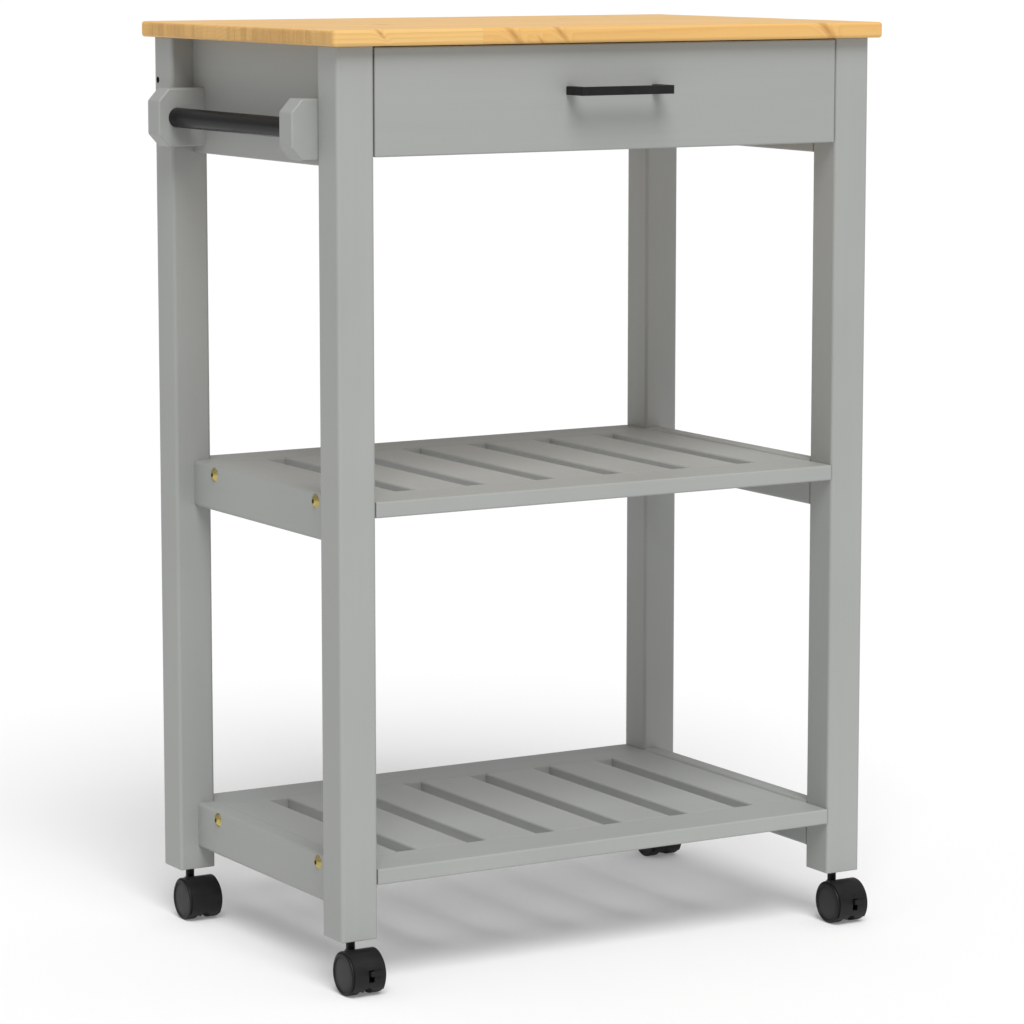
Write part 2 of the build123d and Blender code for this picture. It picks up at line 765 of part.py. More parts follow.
apron_screw_places = []
worktop_screw_places = []
wood_screw_places = seats(
    [(-inner_half_length, y, z) for y, z in bracket_screw_places], (-1, 0, 0)
)
bolt_places = []
nut_places = []
drawer_dowel_places = []
drawer_screw_places = []
for side in pair:
    outside_x = side * (frame_half_length - apron_screw_sink)
    apron_screw_places += seats(
        [(outside_x, back_apron_y, z) for z in apron_screw_heights], (-side, 0, 0)
    )
    inside_x = side * (inner_half_length - angle_thickness)
    for spot in pair:
        y = spot * angle_from_middle
        under_top = (side * angle_screw_x, y, leg_top - angle_thickness)
        worktop_screw_places += seats([under_top], (0, 0, 1))
        worktop_screw_places += seats([(inside_x, y, angle_screw_z)], (side, 0, 0))
    runner_face_x = side * (inner_half_length - runner_width)
    wood_screw_places += seats(
        [(runner_face_x, y, runner_middle) for y in runner_screw_y], (side, 0, 0)
    )
    for height in shelf_heights.values():
        bolt_z = height - panel_thickness / 2
        for spot in pair:
            y = spot * bolt_from_middle
            bolt_places += seats([(side * rail_outer, y, bolt_z)], (-side, 0, 0))
            nut_places += [(side * (inner_half_length - nut_from_edge), y, height - panel_thickness)]
    drawer_dowel_places += seats(
        [(side * side_middle, drawer_front_y, z) for z in drawer_dowel_heights], (0, 1, 0)
    )
    drawer_screw_places += seats(
        [(side * drawer_outer, drawer_back_y - drawer_wall / 2, z) for z in drawer_screw_heights],
        (-side, 0, 0),
    )

recessed_screw = make_pan_screw(
    apron_screw_length, apron_screw_head_diameter, apron_screw_head_height
)
angle_screw = make_pan_screw(
    angle_screw_length, screw_head_diameter, screw_head_height
)
handle_screw = make_pan_screw(
    handle_screw_length, screw_head_diameter, screw_head_height
)
save_group(recessed_screw, apron_screw_places, "apron_screws")
save_group(angle_screw, worktop_screw_places, "worktop_screws")
save_group(make_countersunk_screw(wood_screw_length), wood_screw_places, "wood_screws")
save_group(make_shelf_bolt(), bolt_places, "shelf_bolts")
save_group(
    make_dowel(drawer_dowel_diameter, drawer_dowel_length), drawer_dowel_places, "drawer_dowels"
)
save_group(make_countersunk_screw(wood_screw_length), drawer_screw_places, "drawer_screws")
handle_screw_places = seats(
    [(side * handle_post_x, drawer_front_y, handle_height) for side in pair], (0, -1, 0)
)
save_group(handle_screw, handle_screw_places, "handle_screws")

with BuildPart() as barrel_nuts:
    for x, y, z in nut_places:
        with BuildSketch(level(z, x, y)):
            Circle(nut_diameter / 2)
        extrude(amount=nut_length)
        bolt_z = z + panel_thickness / 2
        drill([(x - nut_diameter, y, bolt_z)], (1, 0, 0), bolt_hole_radius, 2 * nut_diameter)
save(barrel_nuts.part, "barrel_nuts")

with BuildPart() as worktop_angles:
    for side, y in angle_places:
        corner_x = side * (inner_half_length - angle_leg / 2)
        with BuildSketch(level(leg_top - angle_thickness, corner_x, y)):
            Rectangle(angle_leg, angle_width)
        extrude(amount=angle_thickness)
        upright_x = side * (inner_half_length - angle_thickness / 2)
        with BuildSketch(level(leg_top - angle_leg, upright_x, y)):
            Rectangle(angle_thickness, angle_width)
        extrude(amount=angle_leg)
        under_top = (side * angle_screw_x, y, leg_top - angle_thickness)
        drill([under_top], (0, 0, 1), screw_hole_radius, angle_thickness)
        beside = (side * (inner_half_length - angle_thickness), y, angle_screw_z)
        drill([beside], (side, 0, 0), screw_hole_radius, angle_thickness)
save(worktop_angles.part, "worktop_angles")

# ---------------------------------------------------------------- casters
web_width = wheel_gap - 2 * web_side_gap
boss_radius = web_width / 2
axle_reach = wheel_gap / 2 + wheel_bore_depth - axle_end_gap
swivel_radius = swivel_diameter / 2
stem_bottom = boss_height + stem_gap
swivel_foot = boss_height - swivel_length
tab_inner = hood_outer_radius + brake_tab_gap
tab_outer = tab_inner + brake_tab_thickness


def polar(radius, degrees):
    """A point in a caster's side view, in degrees from its back towards its top."""
    angle = math.radians(degrees)
    return radius * math.cos(angle), radius * math.sin(angle)


def pie_slice(radius, start, end):
    """A pie slice about the middle of a caster's side view."""
    with BuildSketch(Plane.XY) as pie:
        with BuildLine():
            Line((0, 0), polar(radius, start))
            ThreePointArc(polar(radius, start), polar(radius, (start + end) / 2), polar(radius, end))
            Line(polar(radius, end), (0, 0))
        make_face()
    return pie.sketch


hood_opening = pie_slice(2 * hood_outer_radius, 180 + hood_front_reach, 360 - hood_back_reach)
tab_from = 180 - brake_tab_start - brake_tab_sweep
tab_to = 180 - brake_tab_start
brake_slot = pie_slice(
    2 * hood_outer_radius, tab_from - brake_slot_margin, tab_to + brake_travel + brake_slot_margin
)


def make_caster_body(x, y, braked):
    """The swivelling hood: a cover over both wheels on a web that carries the axle."""
    axle_y = y - caster_trail
    with BuildPart() as body:
        with BuildSketch(endwise(x - hood_width / 2, axle_y, wheel_radius)):
            Circle(hood_outer_radius)
            Circle(hood_inner_radius, mode=Mode.SUBTRACT)
            add(hood_opening, mode=Mode.SUBTRACT)
        extrude(amount=hood_width)
        with BuildSketch(endwise(x - web_width / 2, axle_y, wheel_radius)):
            Circle(hood_outer_radius)
            with Locations((0, web_floor_gap - wheel_radius)):
                Rectangle(
                    2 * hood_outer_radius,
                    hood_outer_radius,
                    align=(Align.CENTER, Align.MAX),
                    mode=Mode.SUBTRACT,
                )
        extrude(amount=web_width)
        with BuildSketch(level(wheel_radius / 2, x, y)):
            Circle(boss_radius)
        extrude(amount=boss_height - wheel_radius / 2)
        bore = swivel_radius + running_clearance
        drill([(x, y, stem_bottom)], (0, 0, -1), bore, stem_bottom - swivel_foot + swivel_end_gap)
        axle_start = (x - web_width, axle_y, wheel_radius)
        drill([axle_start], (1, 0, 0), axle_diameter / 2 + screw_clearance, 2 * web_width)
        arch_start = (x, axle_y - 2 * hood_outer_radius, web_floor_gap)
        drill([arch_start], (0, 1, 0), hood_arch_radius, 4 * hood_outer_radius)
        if braked:
            pocket_start = x + brake_arm_low - brake_side_gap
            with BuildSketch(endwise(pocket_start, axle_y, wheel_radius)):
                add(brake_slot)
                Circle(brake_hub_radius + brake_pocket_clearance)
            pocket_width = brake_arm_high - brake_arm_low + 2 * brake_side_gap
            extrude(amount=pocket_width, mode=Mode.SUBTRACT)
    return body.part


def make_caster_wheel(x, y, side):
    """One of a caster's two wheels: a tyre with a dished outer face and a blind bore."""
    axle_y = y - caster_trail
    inner_x = x + side * wheel_gap / 2
    outer_x = inner_x + side * wheel_width
    start_x = min(inner_x, outer_x)
    with BuildPart() as wheel:
        with BuildSketch(endwise(start_x, axle_y, wheel_radius)):
            Circle(wheel_radius)
        extrude(amount=wheel_width)
        fillet(wheel.edges().filter_by(GeomType.CIRCLE), wheel_edge_radius)
        dish = (outer_x, axle_y, wheel_radius)
        drill([dish], (-side, 0, 0), wheel_radius - wheel_rim_width, wheel_dish_depth)
        bore = axle_diameter / 2 + running_clearance
        drill([(inner_x, axle_y, wheel_radius)], (side, 0, 0), bore, wheel_bore_depth)
    return wheel.part


def make_axle(x, y):
    """The fixed pin that both wheels turn on."""
    with BuildPart() as axle:
        with BuildSketch(endwise(x, y - caster_trail, wheel_radius)):
            Circle(axle_diameter / 2)
        extrude(amount=axle_reach, both=True)
        chamfer(axle.edges().filter_by(GeomType.CIRCLE), axle_diameter / 10)
    return axle.part


def make_brake_lever(x, y):
    """A toe lever that turns on the axle and stands out through the hood's slot."""
    side_view = endwise(x + brake_arm_low, y - caster_trail, wheel_radius)
    with BuildPart() as lever:
        with BuildSketch(side_view):
            add(pie_slice(tab_outer, tab_from, tab_to))
            Circle(brake_hub_radius)
        extrude(amount=brake_arm_high - brake_arm_low)
        with BuildSketch(side_view):
            add(pie_slice(tab_outer, tab_from, tab_to))
            Circle(tab_inner, mode=Mode.SUBTRACT)
        extrude(amount=brake_tab_high - brake_arm_low)
        start = (x - web_width, y - caster_trail, wheel_radius)
        bore = axle_diameter / 2 + running_clearance
        drill([start], (1, 0, 0), bore, 2 * web_width)
    return lever.part


for end in pair:
    for side in pair:
        corner = f"{end_names[end]}_{side_names[side]}"
        x, y = side * leg_x, end * leg_y
        braked = end_names[end] == "front"
        save(make_caster_body(x, y, braked), f"caster_body_{corner}")
        save(make_axle(x, y), f"caster_axle_{corner}")
        for wheel_side in pair:
            wheel_name = f"caster_wheel_{corner}_{side_names[wheel_side]}"
            save(make_caster_wheel(x, y, wheel_side), wheel_name)
        if braked:
            save(make_brake_lever(x, y), f"brake_lever_{corner}")

leg_places = [(side * leg_x, end * leg_y) for end in pair for side in pair]
with BuildPart() as caster_sockets:
    for x, y in leg_places:
        with BuildSketch(level(caster_height, x, y)):
            Circle(socket_diameter / 2)
        extrude(amount=socket_length)
        stem_hole = stem_diameter / 2 + socket_wall_gap
        drill([(x, y, caster_height)], (0, 0, 1), stem_hole, socket_length - stem_gap)
save(caster_sockets.part, "caster_sockets")

with BuildPart() as caster_stems:
    for x, y in leg_places:
        with BuildSketch(level(stem_bottom, x, y)):
            Circle(stem_diameter / 2)
        extrude(amount=caster_height + socket_length - 2 * stem_gap - stem_bottom)
        with BuildSketch(level(swivel_foot, x, y)):
            Circle(swivel_radius)
        extrude(amount=stem_bottom - swivel_foot)
save(caster_stems.part, "caster_stems")
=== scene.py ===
import math

import bmesh
import bpy
import numpy as np
from mathutils import Matrix, Vector


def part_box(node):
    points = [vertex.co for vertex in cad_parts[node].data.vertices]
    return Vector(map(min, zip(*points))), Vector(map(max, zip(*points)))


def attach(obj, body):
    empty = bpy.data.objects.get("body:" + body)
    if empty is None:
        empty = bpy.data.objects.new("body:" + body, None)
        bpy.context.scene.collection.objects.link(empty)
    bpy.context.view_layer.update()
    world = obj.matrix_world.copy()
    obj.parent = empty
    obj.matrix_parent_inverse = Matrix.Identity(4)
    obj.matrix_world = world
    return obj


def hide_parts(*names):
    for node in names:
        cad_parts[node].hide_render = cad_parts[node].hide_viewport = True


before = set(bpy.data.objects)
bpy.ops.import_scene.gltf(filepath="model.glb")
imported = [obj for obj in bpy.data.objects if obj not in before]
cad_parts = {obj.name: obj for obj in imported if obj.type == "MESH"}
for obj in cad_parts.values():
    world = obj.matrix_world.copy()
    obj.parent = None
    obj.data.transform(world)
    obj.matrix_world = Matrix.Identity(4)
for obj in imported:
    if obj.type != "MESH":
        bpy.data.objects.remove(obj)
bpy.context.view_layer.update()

bl_info = {
    "name": "Kitchen Island Cart",
    "version": (1, 0, 0),
    "blender": (4, 5, 0),
    "location": "3D View > Sidebar > Cart",
    "description": "Builds the looks of a painted kitchen cart round its packed frame",
    "category": "Object",
}

MM = 0.001
AXES = {"x": 0, "y": 1, "z": 2}
TURNS = {"x": Matrix.Rotation(math.pi / 2, 4, "Y"), "y": Matrix.Rotation(-math.pi / 2, 4, "X"),
         "z": Matrix.Identity(4)}
CORNERS = ("front_left", "front_right", "back_left", "back_right")
BRAKED = ("front_left", "front_right")
SHELVES = ("lower", "middle")
ROOT = "frame"
DRAWER = "drawer"
TINY = 1e-6
BEVEL_WEIGHT = "bevel_weight_edge"
HOLE_LEAD = 3 * MM

# Most of a noise's values lie between these two.
NOISE_LOW, NOISE_HIGH = 0.35, 0.7
# How far through a yearly ring the wood is how dark.
RING_STOPS = ((0.55, 0.28), (0.86, 1.0), (0.93, 0.75))
BLOCK_LENGTH = 0.92
STAGGER = 0.37
STAVE_SEED = 3.7
PITH_HEIGHT = 0.87
KNOT_LEAN = 0.9
KNOT_STRETCH = (1.0, 0.35, 0.42)
BARE_BOARD_WIDTH = 0.4
# Edges are lighter by this much: partly worn paint, partly a painted highlight.
WORN_PAINT_AND_HIGHLIGHT = 1.25
# Painted light: tint that makes the worktop's top faces lighter and warmer.
TOP_LIGHT_TINT = (1.13, 1.10, 1.06)

SENSOR_WIDTH = 36.0
FAR_CLIP = 100.0
FLOOR_HALF_WIDTH = 60.0


# ------------------------------------------------------------------ settings
class CartSizes(bpy.types.PropertyGroup):
    """How far the edges of the wooden pieces are eased, and the pitch of the slats."""

    top_edge: bpy.props.FloatProperty(
        name="Worktop edge", description="Rounding of the worktop's edges",
        default=3.2 * MM, min=0.0, unit="LENGTH")
    top_corner: bpy.props.FloatProperty(
        name="Worktop corner", description="Rounding of the worktop's upright corners",
        default=5.0 * MM, min=0.0, unit="LENGTH")
    leg_edge: bpy.props.FloatProperty(
        name="Leg edge", description="Rounding of the legs' long edges",
        default=3.0 * MM, min=0.0, unit="LENGTH")
    board_edge: bpy.props.FloatProperty(
        name="Board edge", description="Rounding of the aprons, rails and drawer front",
        default=1.6 * MM, min=0.0, unit="LENGTH")
    rail_edge: bpy.props.FloatProperty(
        name="Side rail edge", description="Rounding of the shelves' side rails",
        default=3.2 * MM, min=0.0, unit="LENGTH")
    end_edge: bpy.props.FloatProperty(
        name="Sawn end", description="Easing of the boards' sawn ends",
        default=0.5 * MM, min=0.0, unit="LENGTH")
    slat_edge: bpy.props.FloatProperty(
        name="Slat edge", description="Rounding of the shelf slats' long edges",
        default=1.8 * MM, min=0.0, unit="LENGTH")
    slat_count: bpy.props.IntProperty(
        name="Slats", description="Slats in each shelf", default=7, min=2)
    slat_pitch: bpy.props.FloatProperty(
        name="Slat pitch", description="Distance from one slat to the next",
        default=76.4 * MM, min=0.0, unit="LENGTH")
    slat_gap: bpy.props.FloatProperty(
        name="Slat gap", description="Open gap between two slats",
        default=21.0 * MM, min=0.0, unit="LENGTH")
    stave_width: bpy.props.FloatProperty(
        name="Stave width", description="Width of one glued stave of the worktop",
        default=46.0 * MM, min=0.001, unit="LENGTH")


class CartColours(bpy.types.PropertyGroup):
    """The finishes' main colours, in linear light."""

    paint: bpy.props.FloatVectorProperty(
        name="Paint", description="Warm grey paint of the frame",
        default=(0.303, 0.312, 0.301), size=3, min=0.0, max=1.0, subtype="COLOR")
    early_wood: bpy.props.FloatVectorProperty(
        name="Early wood", description="Pale part of the pine's rings",
        default=(0.71, 0.46, 0.178), size=3, min=0.0, max=1.0, subtype="COLOR")
    late_wood: bpy.props.FloatVectorProperty(
        name="Late wood", description="Dark part of the pine's rings",
        default=(0.55, 0.30, 0.09), size=3, min=0.0, max=1.0, subtype="COLOR")
    knot: bpy.props.FloatVectorProperty(
        name="Knot", description="Heart of a knot",
        default=(0.36, 0.155, 0.045), size=3, min=0.0, max=1.0, subtype="COLOR")
    dark_enamel: bpy.props.FloatVectorProperty(
        name="Dark enamel", description="Powder coat of the drawer handle",
        default=(0.010, 0.0105, 0.0105), size=3, min=0.0, max=1.0, subtype="COLOR")
    black_enamel: bpy.props.FloatVectorProperty(
        name="Black enamel", description="Enamel of the towel bar",
        default=(0.005, 0.005, 0.0055), size=3, min=0.0, max=1.0, subtype="COLOR")
    brass: bpy.props.FloatVectorProperty(
        name="Brass", description="Plating of the shelf bolts",
        default=(0.47, 0.385, 0.15), size=3, min=0.0, max=1.0, subtype="COLOR")
    zinc: bpy.props.FloatVectorProperty(
        name="Zinc", description="Plating of screws, angles and stems",
        default=(0.55, 0.56, 0.57), size=3, min=0.0, max=1.0, subtype="COLOR")
    nylon: bpy.props.FloatVectorProperty(
        name="Nylon", description="Moulded caster hoods and brake levers",
        default=(0.0075, 0.0078, 0.0078), size=3, min=0.0, max=1.0, subtype="COLOR")
    tyre: bpy.props.FloatVectorProperty(
        name="Wheel", description="Moulded caster wheels",
        default=(0.022, 0.022, 0.0225), size=3, min=0.0, max=1.0, subtype="COLOR")
    floor: bpy.props.FloatVectorProperty(
        name="Floor", description="Plain pale floor",
        default=(0.74, 0.74, 0.74), size=3, min=0.0, max=1.0, subtype="COLOR")


class CartStage(bpy.types.PropertyGroup):
    """Camera and light."""

    camera_place: bpy.props.FloatVectorProperty(
        name="Camera place", description="Where the camera stands",
        default=(-1.99515, -3.38752, 0.97979), size=3, unit="LENGTH")
    camera_turn: bpy.props.FloatProperty(
        name="Camera turn", description="How far the camera looks right of the cart's depth",
        default=math.radians(30.568), unit="ROTATION")
    camera_pitch: bpy.props.FloatProperty(
        name="Camera pitch", description="How far the camera looks down",
        default=math.radians(8.263), unit="ROTATION")
    camera_lens: bpy.props.FloatProperty(
        name="Lens", description="Focal length of the camera in millimetres",
        default=142.21, min=10.0, unit="CAMERA")
    sun_strength: bpy.props.FloatProperty(
        name="Sun", description="Strength of the soft key light", default=2.55, min=0.0)
    sun_softness: bpy.props.FloatProperty(
        name="Sun softness", description="Width of the key light in the sky",
        default=math.radians(34), unit="ROTATION")
    sun_heading: bpy.props.FloatVectorProperty(
        name="Sun heading", description="The way that the key light shines",
        default=(0.33, 1.0, -1.35), size=3)
    floor_glow: bpy.props.FloatProperty(
        name="Floor glow", description="Light from under the floor, as on a light table",
        default=0.21, min=0.0)
    sky_strength: bpy.props.FloatProperty(
        name="Sky", description="Strength of the even light from all round",
        default=0.54, min=0.0)


# ------------------------------------------------------------------ node building
def add_node(tree, kind, inputs=None, **settings):
    """Add a node, change its settings, and set or link its inputs by name or number."""
    node = tree.nodes.new(kind)
    for name, value in settings.items():
        setattr(node, name, value)
    for key, value in (inputs or {}).items():
        socket = node.inputs[key]
        if isinstance(value, bpy.types.NodeSocket):
            tree.links.new(value, socket)
        else:
            socket.default_value = value
    return node


def maths(tree, operation, first, second=0.0):
    """One step of arithmetic on numbers or sockets."""
    node = add_node(tree, "ShaderNodeMath", {0: first, 1: second}, operation=operation)
    return node.outputs[0]


def plus(tree, first, second):
    """The sum of two values."""
    return maths(tree, "ADD", first, second)


def minus(tree, first, second):
    """The first value less the second."""
    return maths(tree, "SUBTRACT", first, second)


def times(tree, first, second):
    """The product of two values."""
    return maths(tree, "MULTIPLY", first, second)


def over(tree, first, second):
    """The first value divided by the second."""
    return maths(tree, "DIVIDE", first, second)


def joined(tree, x=0.0, y=0.0, z=0.0):
    """A vector made from its three parts."""
    return add_node(tree, "ShaderNodeCombineXYZ", {0: x, 1: y, 2: z}).outputs[0]


def parted(tree, vector):
    """A vector's three parts."""
    return add_node(tree, "ShaderNodeSeparateXYZ", {0: vector}).outputs


def vector_maths(tree, operation, first, second):
    """One step of arithmetic on two vectors."""
    inputs = {0: first, 1: second}
    return add_node(tree, "ShaderNodeVectorMath", inputs, operation=operation).outputs[0]


def stored(tree, name):
    """A number that the mesh holds at each of its points."""
    return add_node(tree, "ShaderNodeAttribute", attribute_name=name).outputs["Fac"]


def noise(tree, place, scale, detail=3.0, rough=0.5):
    """A noise value between 0 and 1."""
    inputs = {"Vector": place, "Scale": scale, "Detail": detail, "Roughness": rough}
    return add_node(tree, "ShaderNodeTexNoise", inputs).outputs["Fac"]


def spread(tree, value, low, high, from_low=0.0, from_high=1.0):
    """Map a value from one range to another, held within it."""
    inputs = {"Value": value, "From Min": from_low, "From Max": from_high,
              "To Min": low, "To Max": high}
    return add_node(tree, "ShaderNodeMapRange", inputs).outputs["Result"]


def mix_colour(tree, share, first, second, blend="MIX"):
    """Blend two colours, given as sockets or as red, green and blue."""
    node = add_node(tree, "ShaderNodeMix", data_type="RGBA", blend_type=blend)
    for key, value in ((0, share), (6, first), (7, second)):
        if isinstance(value, bpy.types.NodeSocket):
            tree.links.new(value, node.inputs[key])
        elif key == 0:
            node.inputs[key].default_value = value
        else:
            node.inputs[key].default_value = (*value[:3], 1.0)
    return node.outputs[2]


def tinted(colour, factor):
    """A colour made lighter or darker."""
    return tuple(min(1.0, part * factor) for part in colour)


def pale(colour):
    """The same wood without lacquer: lighter and less yellow."""
    red, green, blue = colour
    return tuple(min(1.0, part) for part in (red * 1.04, green * 1.12, blue * 1.75))


def stretched(tree, along, fine, coarse):
    """Object coordinates, drawn out along one axis."""
    scale = [fine, fine, fine]
    scale[AXES[along]] = coarse
    place = add_node(tree, "ShaderNodeTexCoord").outputs["Object"]
    return add_node(tree, "ShaderNodeMapping", {"Vector": place, "Scale": scale}).outputs[0]


def new_material(name):
    """An empty material with its shader, node tree and object coordinates."""
    material = bpy.data.materials.new(name)
    material.use_nodes = True
    tree = material.node_tree
    tree.nodes.clear()
    shader = add_node(tree, "ShaderNodeBsdfPrincipled")
    add_node(tree, "ShaderNodeOutputMaterial", {"Surface": shader.outputs["BSDF"]})
    place = add_node(tree, "ShaderNodeTexCoord").outputs["Object"]
    return material, tree, shader, place


def set_bump(tree, shader, height, strength, depth):
    """Give a shader relief from a height value; depth is in metres."""
    bump = add_node(tree, "ShaderNodeBump",
                    {"Height": height, "Strength": strength, "Distance": depth})
    tree.links.new(bump.outputs["Normal"], shader.inputs["Normal"])


# ------------------------------------------------------------------ materials
def mottled(tree, pattern, colour, dark, light):
    """A colour that a pattern varies between a darker and a lighter tint of it."""
    share = spread(tree, pattern, 0.0, 1.0, NOISE_LOW, NOISE_HIGH)
    return mix_colour(tree, share, tinted(colour, dark), tinted(colour, light))


def vary_roughness(tree, shader, pattern, low, high):
    """Let a pattern vary how rough a surface is."""
    roughness = spread(tree, pattern, low, high, from_low=0.3, from_high=0.7)
    tree.links.new(roughness, shader.inputs["Roughness"])


def painted_pine(name, along, colour):
    """Satin paint over pine: a faint grain, roller stipple, and lighter edges, partly thinner
    paint and partly a painted highlight.
    """
    material, tree, shader, place = new_material(name)
    grain_place = stretched(tree, along, fine=260.0, coarse=7.0)
    grain = noise(tree, grain_place, scale=1.0, detail=4.0, rough=0.6)
    band_place = stretched(tree, along, fine=60.0, coarse=2.2)
    bands = noise(tree, band_place, scale=1.0, detail=2.0)
    cloud = noise(tree, place, scale=5.0, detail=2.0)
    stipple = noise(tree, place, scale=1300.0, detail=2.0)
    tone = plus(tree, times(tree, bands, 0.55), times(tree, cloud, 0.45))
    share = spread(tree, tone, 0.0, 1.0, from_low=0.3, from_high=0.7)
    body = mix_colour(tree, share, tinted(colour, 0.972), tinted(colour, 1.022))
    dark_grain = spread(tree, grain, 0.0, 0.16, from_low=0.52, from_high=0.72)
    body = mix_colour(tree, dark_grain, body, tinted(colour, 0.88))
    # Lighter edges: partly paint worn thin, partly a painted highlight on the rounded edges.
    edge_lightening = spread(tree, cloud, 0.10, 0.34, from_low=0.35, from_high=0.65)
    rub_and_highlight = times(tree, stored(tree, "edge"), edge_lightening)
    body = mix_colour(tree, rub_and_highlight, body, tinted(colour, WORN_PAINT_AND_HIGHLIGHT))
    tree.links.new(body, shader.inputs["Base Color"])
    vary_roughness(tree, shader, tone, 0.47, 0.60)
    shader.inputs["Specular IOR Level"].default_value = 0.42
    relief = plus(tree, times(tree, grain, -0.8), times(tree, stipple, 0.35))
    set_bump(tree, shader, relief, strength=0.35, depth=0.12 * MM)
    return material


def pith_distance(tree, along, across, up, pith_across, pith_up):
    """How far each point of a board lies from the pith of the log it was cut from."""
    slow_along = times(tree, along, 1.3)
    slow_place = joined(tree, slow_along, times(tree, across, 7.0), times(tree, up, 7.0))
    wander = noise(tree, slow_place, scale=1.0, detail=2.0)
    side = minus(tree, across, pith_across)
    rise = minus(tree, up, pith_up)
    square = plus(tree, times(tree, side, side), times(tree, rise, rise))
    return plus(tree, maths(tree, "SQRT", square), times(tree, wander, 17 * MM))


def stave_chances(tree, length, across, stave_width):
    """The number of each glued stave, and three chances for each length of it."""
    stave = maths(tree, "FLOOR", over(tree, across, stave_width))
    stagger = times(tree, stave, STAGGER)
    block = maths(tree, "FLOOR", plus(tree, over(tree, length, BLOCK_LENGTH), stagger))
    seed = joined(tree, stave, block, STAVE_SEED)
    chance = add_node(tree, "ShaderNodeTexWhiteNoise", {"Vector": seed}, noise_dimensions="3D")
    return stave, parted(tree, chance.outputs["Color"])


def knots_in(tree, place, radius, knots):
    """Rings that bend round each knot, and how deep in a knot's heart each point lies."""
    heart = None
    for x, y, z, size in knots:
        away = vector_maths(tree, "SUBTRACT", place, (x, y, z))
        lean = joined(tree, times(tree, parted(tree, away)[2], KNOT_LEAN))
        away = vector_maths(tree, "ADD", away, lean)
        away = vector_maths(tree, "MULTIPLY", away, KNOT_STRETCH)
        length = add_node(tree, "ShaderNodeVectorMath", {0: away}, operation="LENGTH")
        gap = length.outputs["Value"]
        swell = spread(tree, gap, 1.0, 0.0, from_low=0.0, from_high=3.4 * size)
        push = times(tree, maths(tree, "POWER", swell, 2.0), 1.6 * size)
        radius = plus(tree, radius, push)
        core = spread(tree, gap, 1.0, 0.0, from_low=0.1 * size, from_high=1.1 * size)
        heart = core if heart is None else maths(tree, "MAXIMUM", heart, core)
    return radius, heart


def ring_darkness(tree, radius, ring_gap):
    """How dark the wood is through each yearly ring: slowly darker, then suddenly pale."""
    turn = maths(tree, "FRACT", over(tree, radius, ring_gap))
    ramp = add_node(tree, "ShaderNodeValToRGB", {"Fac": turn})
    stops = ramp.color_ramp.elements
    for end, stop in enumerate(stops):
        stop.position, stop.color = float(end), (0.0, 0.0, 0.0, 1.0)
    for position, level in RING_STOPS:
        stops.new(position).color = (level, level, level, 1.0)
    return ramp.outputs["Color"]


def glue_lines(tree, across, stave_width):
    """The thin lines where two staves are glued."""
    middle = minus(tree, maths(tree, "FRACT", over(tree, across, stave_width)), 0.5)
    seam = maths(tree, "ABSOLUTE", middle)
    return spread(tree, seam, 0.0, 0.5, from_low=0.492, from_high=0.498)


